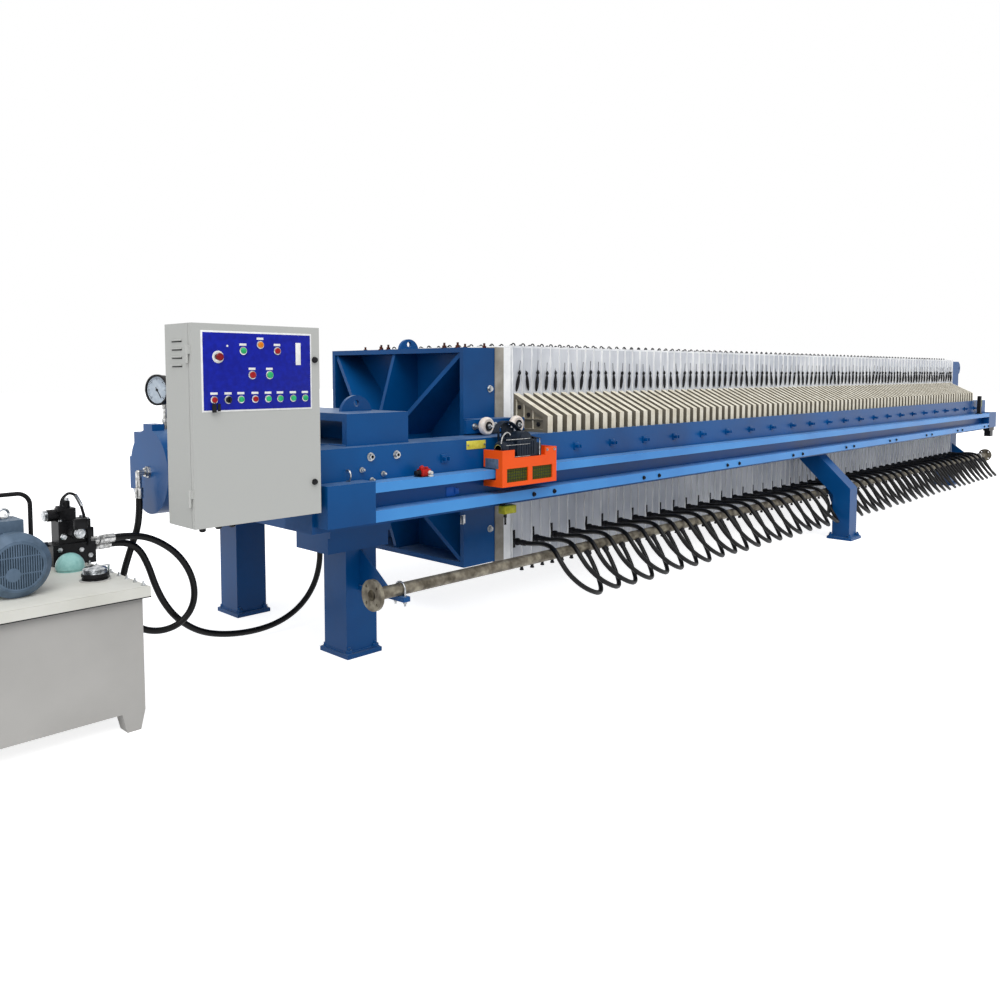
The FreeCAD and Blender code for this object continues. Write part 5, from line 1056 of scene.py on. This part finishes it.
shuttle_orange = coloured("orange_powder_coat", "F2560F", "EA5010", 0.38, 0.2)
shuttle_orange.node_tree.nodes["Principled BSDF"].inputs["Specular IOR Level"].default_value = 0.2
drive_navy = coloured("dark_navy_motor_paint", "1B2634", "111A26", 0.4)
olive_mesh = coloured("olive_wire_mesh", "5B6114", "3D430E", 0.6, 0.004, 0.8)
slate = coloured("slate_grey_end_plate", "5C6C80", "4C5B6E", 0.45)
# Painted shade: a darker red copy of the orange for the shaded inner face of the ear.
dark_red = coloured("dark_red_inside_of_ear", "8C2A10", "6E200C", 0.5)
for side, label in ((-1, "near"), (1, "far")):
    body = "shuttle_" + label
    dress(shuttle_orange, "shuttle_carriage_" + label)
    dress(drive_navy, "shuttle_drive_" + label)
    dress(nylon, "shuttle_rollers_" + label)

    at, block = on_side(side)
    mesh = bmesh.new()
    for left in (826, 1022):
        block(mesh, (left, left + 178), (1051, 1053), (846, 934), 0.2)
    piece(f"window_mesh_{label}", mesh, olive_mesh, body, "shuttle_black")
    wires = bmesh.new()
    for left in (834, 1030):
        for k in range(1, 9):
            rod(wires, at(left + 18 * k, 1054, 852), at(left + 18 * k, 1054, 928), 1.1, 4)
        for k in range(1, 5):
            rod(wires, at(left, 1055, 852 + 15 * k), at(left + 162, 1055, 852 + 15 * k), 1.1, 4)
    piece(f"window_wires_{label}", wires, drive_navy, body, "shuttle_black")
    cheek = bmesh.new()
    block(cheek, (797.5, 800), (939, 1033), (927, 978))
    piece(f"carriage_end_plate_{label}", cheek, slate, body, "shuttle_black")
    # A darker red sheet on each ear's inner face: painted shade on the orange ear.
    inside = bmesh.new()
    block(inside, (1222, 1224.5), (945, 1045), (984, 1016))
    piece(f"ear_lining_{label}", inside, dark_red, body, "shuttle_orange")

    motor, trim = bmesh.new(), bmesh.new()
    lathed(motor, at(868, *DRIVE_AXIS), (-1, 0, 0), [(0, 40), (4, 42), (26, 42), (34, 36), (36, 30),
                                                    (36, 0)], 28)
    for k in range(5):
        lathed(motor, at(876 + 11 * k, *DRIVE_AXIS), (1, 0, 0),
               [(0, 40), (0, 43), (3, 43), (3, 40)], 28)
    block(motor, (884, 916), (984, 1018), (1062, 1082), 3)
    for k in range(7):
        block(motor, (940 + 19 * k, 944 + 19 * k), (1047, 1050), (990, 1060), 0.4)
    hood = [(871, 1109), (886, 1133), (901, 1150), (918, 1160), (939, 1166), (962, 1165),
            (986, 1159), (1010, 1146), (1033, 1130), (1060, 1111), (1089, 1095), (1120, 1084),
            (1153, 1075), (1186, 1067), (1220, 1061)]
    for (x0, z0), (x1, z1) in zip(hood, hood[1:]):
        corners = []
        for x, z in ((x0, z0), (x1, z1), (x1, z1 - 5), (x0, z0 - 5)):
            corners.append((motor.verts.new(at(x, 916, z)), motor.verts.new(at(x, 956, z))))
        near, far = [pair[0] for pair in corners], [pair[1] for pair in corners]
        motor.faces.new(near)
        motor.faces.new(far[::-1])
        for a, b, c, d in zip(near, near[1:] + near[:1], far[1:] + far[:1], far):
            motor.faces.new((a, d, c, b))
    for (x0, z0), (x1, z1) in zip(hood[4:], hood[5:]):
        block(motor, (x0, x1), (918, 922), (1040, min(z0, z1) - 4), 0.2)
    for x in (905, 1180):
        height = 1148 if x == 905 else 1064
        block(motor, (x - 6, x + 6), (928, 934), (978, height), 0.5)
    bmesh.ops.recalc_face_normals(motor, faces=motor.faces)
    piece(f"geared_motor_and_hood_{label}", motor, drive_navy, body, "shuttle_black")
    for z0, z1 in ((1074, 1077), (1046, 1048), (982, 985)):
        block(trim, (838, 1022), (1050, 1052), (z0, z1), 0.4)
    block(trim, (1096, 1101), (1049, 1052), (976, 1070), 0.6)
    lathed(trim, at(832, *DRIVE_AXIS), (-1, 0, 0), [(0, 26), (2, 26), (2, 22), (0, 22)], 24)
    bent(trim, [at(806, 1046, 1058), at(812, 1046, 1088), at(830, 1046, 1108), at(858, 1046, 1118),
                at(880, 1040, 1100)], 3.5, 8)
    piece(f"motor_trim_{label}", trim, fitting_steel, body, "shuttle_black")
    heads = [at(x, CARRIAGE_FACE, 1008) for x in (1148, 1208)]
    bolts(f"carriage_bolts_{label}", heads, (0, side, 0), 10, zinc_steel, body, "shuttle_black",
          seed=3)

# ------------------------------------------------------------------ control cabinet
# A folded sheet cabinet, powder coated pale grey, on a bracket from the seat.  Its door holds
# a blue control plate without lettering, and louvres cut into the side let the heat out.
cabinet_grey = coloured("pale_grey_powder_coat", "BDBEBA", "B4B5B1", 0.5, 0.002, 0.25)
dress(cabinet_grey, "cabinet_shell", "cabinet_door")
panel_blue = coloured("anodised_blue_panel", "101FA0", "0C188C", 0.35)
DOOR_FACE = -1004.0
edge, plate = bmesh.new(), bmesh.new()
slab(edge, (-797, DOOR_FACE - 1.6, 1269), (-303, DOOR_FACE, 1583), 0.4)
piece("panel_border", edge, coloured("white_panel_border", "F4F4F2", "EAEAE8", 0.5), "door",
      "cabinet_grey")
slab(plate, (-790, DOOR_FACE - 3, 1276), (-310, DOOR_FACE - 1.6, 1576), 0.3)
piece("control_panel", plate, panel_blue, "door", "frame_blue")
caps = {"emergency_stop_red": ("8E1620", "7A101A", [(-728, 1482, 15, 20)]),
        "signal_red": ("A81C22", "8C151B",
                       [(-468, 1509, 12, 9), (-583, 1412, 13, 10), (-572, 1316, 11, 10),
                        (-748, 1316, 11, 9)]),
        "signal_green": ("35BE78", "279E60",
                         [(-621, 1507, 12, 9), (-505, 1412, 13, 10), (-634, 1316, 11, 10),
                          (-513, 1316, 11, 10), (-458, 1316, 11, 10), (-397, 1316, 11, 10),
                          (-339, 1316, 11, 10)]),
        "signal_orange": ("E8871C", "D37512", [(-545, 1532, 12, 9)]),
        "signal_white": ("F2F2EE", "E6E6E2", [(-689, 1525, 4, 3)]),
        "selector_black": ("1A1A1C", "111113", [(-689, 1316, 12, 12)])}
rims, labels = bmesh.new(), bmesh.new()
for name, (light, dark, places) in caps.items():
    heads = bmesh.new()
    for x, z, radius, tall in places:
        foot = (x, DOOR_FACE - 3, z)
        if radius < 6:
            lathed(heads, foot, (0, -1, 0), [(0, radius), (tall, radius), (tall, 0)], 12)
            continue
        if radius > 13:
            lathed(heads, foot, (0, -1, 0),
                   [(0, 10), (11, 10), (12, 13), (14, radius), (18, radius), (tall + 2, 11),
                    (tall + 2, 0)], 24)
            lathed(labels, foot, (0, -1, 0), [(0, 24), (1.2, 24), (1.2, 17), (0, 17)], 32)
        else:
            lathed(heads, foot, (0, -1, 0), [(0, radius), (tall - 1, radius), (tall, radius - 2),
                                             (tall, 0)], 18)
            slab(labels, (x - 15, DOOR_FACE - 3.8, z + 20), (x + 15, DOOR_FACE - 3, z + 29), 0.2)
        lathed(rims, foot, (0, -1, 0), [(0, radius + 4), (3, radius + 4), (4, radius + 2), (4, 0)],
               20)
    if name == "selector_black":
        slab(heads, (-692, DOOR_FACE - 24, 1303), (-686, DOOR_FACE - 8, 1329), 1)
    piece(name + "_buttons", heads, coloured(name + "_plastic", light, dark, 0.3), "door",
          "switch_red" if "red" in name else "fitting_black")
slab(labels, (-381, DOOR_FACE - 3.8, 1453), (-357, DOOR_FACE - 3, 1544), 0.2)
piece("button_bezels", rims, fitting_steel, "door", "fitting_steel")
piece("blank_label_plates", labels, coloured("blank_engraved_plate", "F0F0EC", "E6E6E2", 0.45),
      "door", "cabinet_grey")
keys = bmesh.new()
slab(keys, (-762, DOOR_FACE - 16, 1268), (-744, DOOR_FACE - 12, 1300), 1)
slab(keys, (-740, DOOR_FACE - 18, 1272), (-728, DOOR_FACE - 14, 1302), 1)
piece("hanging_keys", keys, black_plastic, "door", "fitting_black")
locks = bmesh.new()
for x, z in ((-287, 1475), (-295, 958)):
    lathed(locks, (x, DOOR_FACE, z), (0, -1, 0),
           [(0, 13), (3, 13), (4, 11), (10, 11), (11, 8), (11, 0)], 20)
    slab(locks, (x - 18, DOOR_FACE - 17, z - 4), (x + 6, DOOR_FACE - 10, z + 4), 1.5)
piece("door_locks", locks, black_plastic, "door", "fitting_black")
louvres, slots, glands = bmesh.new(), bmesh.new(), bmesh.new()
SIDE_FACE = -835.0
# The slots are thin black strips under the hoods: painted shade for the openings into the cabinet.
for k in range(4):
    z = 1443 + 32 * k
    slab(slots, (SIDE_FACE - 0.6, -930, z - 1), (SIDE_FACE, -847, z + 5), 0.1)
    slab(louvres, (SIDE_FACE - 7, -931, z + 4), (SIDE_FACE, -846, z + 10), 2)
piece("louvre_slots", slots, black_plastic, "frame", "fitting_black")
piece("louvre_hoods", louvres, cabinet_grey, "frame", "cabinet_grey")
for x, y in ((-778, -950), (-700, -930), (-640, -930)):
    lathed(glands, (x, y, 821), (0, 0, -1), [(0, 16), (5, 16), (6, 13), (18, 13), (22, 9), (22, 0)],
           10)
piece("cable_glands", glands, black_plastic, "frame", "fitting_black")

# ------------------------------------------------------------------ hydraulic power unit
# An oil tank with a folded lid.  On it stand the finned motor with its pump, a black valve
# block, the bent carrying bar, a teal return filter and a chrome filler cap.
tank_grey = coloured("grey_tank_paint", "B5B3AF", "ABA9A5", 0.5, 0.4, 0.2)
lid_grey = coloured("light_grey_lid_paint", "DDDCD4", "D0CFC6", 0.45, 0.25, 0.2)
motor_grey = coloured("blue_grey_motor_paint", "5F7286", "4E6072", 0.38, 0.05, 0.3)
# Painted shade: a dark blue-grey that stands in for the shaded inside of the fan cover.
slit_dark = coloured("shadowed_grille", "2E3B48", "22303C", 0.6)
chrome = plated_steel("bright_chrome_plate", "D6D8DA", "8F9396", 0.16)
dress(tank_grey, "tank_body", "tank_feet")
dress(lid_grey, "tank_lid")
dress(motor_grey, "motor_body", "motor_fan_cover")
dress(drive_navy, "pump")
dress(black_plastic, "valve_stack", "tank_handle")
LID_TOP = 575.0
MOTOR_X, MOTOR_Z, MOTOR_FACE = -1337.0, 700.0, -622.0
seam, welts = bmesh.new(), bmesh.new()
slab(seam, (-1767, -766, 532), (-906, 85, 536), 0.4)
piece("lid_seal", seam, black_plastic, "frame", "fitting_black")
slab(welts, (-1758, -756, LID_TOP), (-916, 75, LID_TOP + 2), 1)
for x in (-1650, -1040):
    slab(welts, (x, -560, LID_TOP + 2), (x + 60, -380, LID_TOP + 4), 1)
piece("lid_gasket_plate", welts, lid_grey, "frame", "tank_grey")
bolts("lid_studs", [(-924, y, LID_TOP + 2) for y in range(-735, 60, 78)], (0, 0, 1), 12, chrome,
      "frame", "fitting_steel", thread=9)
bolts("motor_foot_bolts", [(MOTOR_X + x, y, LID_TOP + 10) for x in (-80, 80) for y in (-470, -300)],
      (0, 0, 1), 14, chrome, "frame", "fitting_steel", thread=5)

# The fan cover's grille: upright bars over a dark round disc, painted shade for the inside of the
# cover seen through the bars, and a turned outer ring.
opening, bars = bmesh.new(), bmesh.new()
face = (MOTOR_X, MOTOR_FACE, MOTOR_Z)
lathed(opening, face, (0, -1, 0), [(0, 0), (0, 84), (0.6, 84), (0.6, 0)], 40)
lathed(bars, face, (0, -1, 0), [(0, 92), (2, 91), (3, 88), (2, 84), (0, 84)], 40)
for k in range(-9, 10):
    across = 8.4 * k
    reach = math.sqrt(84.0 ** 2 - across ** 2)
    slab(bars, (MOTOR_X + across - 2.2, MOTOR_FACE - 2.6, MOTOR_Z - reach),
         (MOTOR_X + across + 2.2, MOTOR_FACE, MOTOR_Z + reach), 0.6)
for z in (MOTOR_Z - 30, MOTOR_Z + 34):
    slab(bars, (MOTOR_X - 78, MOTOR_FACE - 2, z), (MOTOR_X + 78, MOTOR_FACE, z + 5), 0.6)
lathed(bars, (MOTOR_X - 22, MOTOR_FACE, MOTOR_Z - 28), (0, -1, 0),
       [(0, 26), (3, 26), (4, 22), (4, 0)], 24)
piece("grille_opening", opening, slit_dark, "frame", "fitting_black")
piece("grille_bars", bars, motor_grey, "frame", "motor_grey")
eye = bmesh.new()
turn = [math.tau * k / 12 for k in range(13)]
bent(eye, [(MOTOR_X + 5 + 19 * math.cos(a), -440, 878 + 19 * math.sin(a)) for a in turn], 5, 8)
lathed(eye, (MOTOR_X + 5, -440, 806), (0, 0, 1), [(0, 10), (50, 10), (52, 7), (56, 7)], 12)
piece("motor_eye_bolt", eye, chrome, "frame", "fitting_steel")
bolts("terminal_box_screws", [(MOTOR_X + x, y, 858) for x in (-38, 38) for y in (-420, -350)],
      (0, 0, 1), 7, chrome, "frame", "fitting_steel")

# Chrome caps, plugs and the small pressure line on the valve block.
knobs, plugs, line, ends = bmesh.new(), bmesh.new(), bmesh.new(), bmesh.new()
knurl = [(2 + 2 * k, 24.5 if k % 2 else 23.3) for k in range(8)]
lathed(knobs, (-1059, -90, 797), (-1, 0, 0), [(0, 22)] + knurl + [(18, 20), (18, 0)], 24)
lathed(knobs, (-984, -90, 855), (0, 0, 1), [(0, 14), (3, 16), (12, 16), (14, 12), (14, 0)], 16)
lathed(knobs, (-967, -200, 725), (0, -1, 0),
       [(0, 24), (8, 24), (10, 19), (15, 19), (16, 9), (22, 9), (22, 0)], 24)
lathed(knobs, (-1010, -134, 705), (0, -1, 0), [(0, 15), (6, 15), (7, 10), (14, 10), (14, 0)], 6)
lathed(knobs, (-934, -134, 700), (0, -1, 0), [(0, 15), (6, 15), (7, 10), (14, 10), (14, 0)], 6)
for x, z in ((-1030, 610), (-1030, 650), (-902, 610), (-985, 600), (-940, 640)):
    lathed(plugs, (x, -145, z), (0, -1, 0), [(0, 11), (5, 11), (6, 6), (6, 0)], 6)
for x, y in ((-1018, -125), (-1018, -55), (-905, -125), (-905, -55)):
    lathed(plugs, (x, y, 771), (0, 0, 1), [(0, 8), (8, 8), (8, 4), (5, 4), (5, 0)], 12)
piece("valve_chrome_caps", knobs, chrome, "frame", "fitting_steel")
piece("valve_plugs", plugs, zinc_steel, "frame", "fitting_steel")
bent(line, [(-1021, -148, 840), (-1021, -150, 864), (-1006, -150, 886), (-982, -150, 900),
            (-960, -150, 884)], 6, 10)
bent(line, [(-938, -150, 838), (-926, -150, 790), (-914, -150, 730), (-905, -148, 680),
            (-912, -146, 655)], 6, 10)
slab(line, (-1036, -152, 818), (-1006, -120, 842), 3)
slab(line, (-996, -232, 745), (-940, -206, 790), 4)
slab(line, (-930, -150, 690), (-886, -134, 735), 3)
piece("pressure_line", line, black_plastic, "frame", "fitting_black")
bent(ends, [(-962, -150, 887), (-950, -150, 868), (-937, -150, 836)], 8, 10)
piece("pressure_line_sleeve", ends, chrome, "frame", "fitting_steel")

# Return filter bowl in teal plastic and the filler cap, in place of the plain ones.
teal = coloured("teal_acrylic_bowl", "9CCBC6", "8ABDB8", 0.15)
dome = bmesh.new()
round_top = [(20 + 58 * math.sin(math.radians(9 * k)), 58 * math.cos(math.radians(9 * k)))
             for k in range(1, 10)]
lathed(dome, (-1027, -250, LID_TOP), (0, 0, 1), [(0, 54), (10, 54), (12, 58), (20, 58)] + round_top
       + [(78, 0)], 40)
dome = piece("return_filter_bowl", dome, teal, "frame", "fitting_steel")
ring, rim, cap = bmesh.new(), bmesh.new(), bmesh.new()
foot = (-1021, -504, LID_TOP)
lathed(ring, foot, (0, 0, 1), [(0, 60), (4, 60), (6, 57), (6, 0)], 40)
lathed(rim, foot, (0, 0, 1),
       [(6, 50), (12, 50), (12, 46), (18, 46), (20, 52), (30, 52), (32, 48), (32, 0)], 40)
ridge = [(34 + 3 * k, 48 if k % 2 else 44) for k in range(7)]
lathed(cap, foot, (0, 0, 1), [(32, 46)] + ridge + [(56, 40), (60, 26), (60, 0)], 32)
for k in range(6):
    a = math.tau * k / 6
    lathed(cap, (foot[0] + 55 * math.cos(a), foot[1] + 55 * math.sin(a), LID_TOP + 6), (0, 0, 1),
           [(0, 4), (3, 4), (3, 0)], 8)
slab(cap, (foot[0] + 30, foot[1] - 8, LID_TOP + 56), (foot[0] + 58, foot[1] + 8, LID_TOP + 59), 1)
slab(cap, (foot[0] + 54, foot[1] - 8, LID_TOP + 6), (foot[0] + 58, foot[1] + 8, LID_TOP + 58), 1)
ring = piece("filler_flange", ring, tank_grey, "frame", "fitting_steel")
rim = piece("filler_rim", rim, black_plastic, "frame", "fitting_black")
cap = piece("filler_cap", cap, chrome, "frame", "fitting_steel")
for part in (dome, ring, rim, cap):
    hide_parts("tank_fittings")
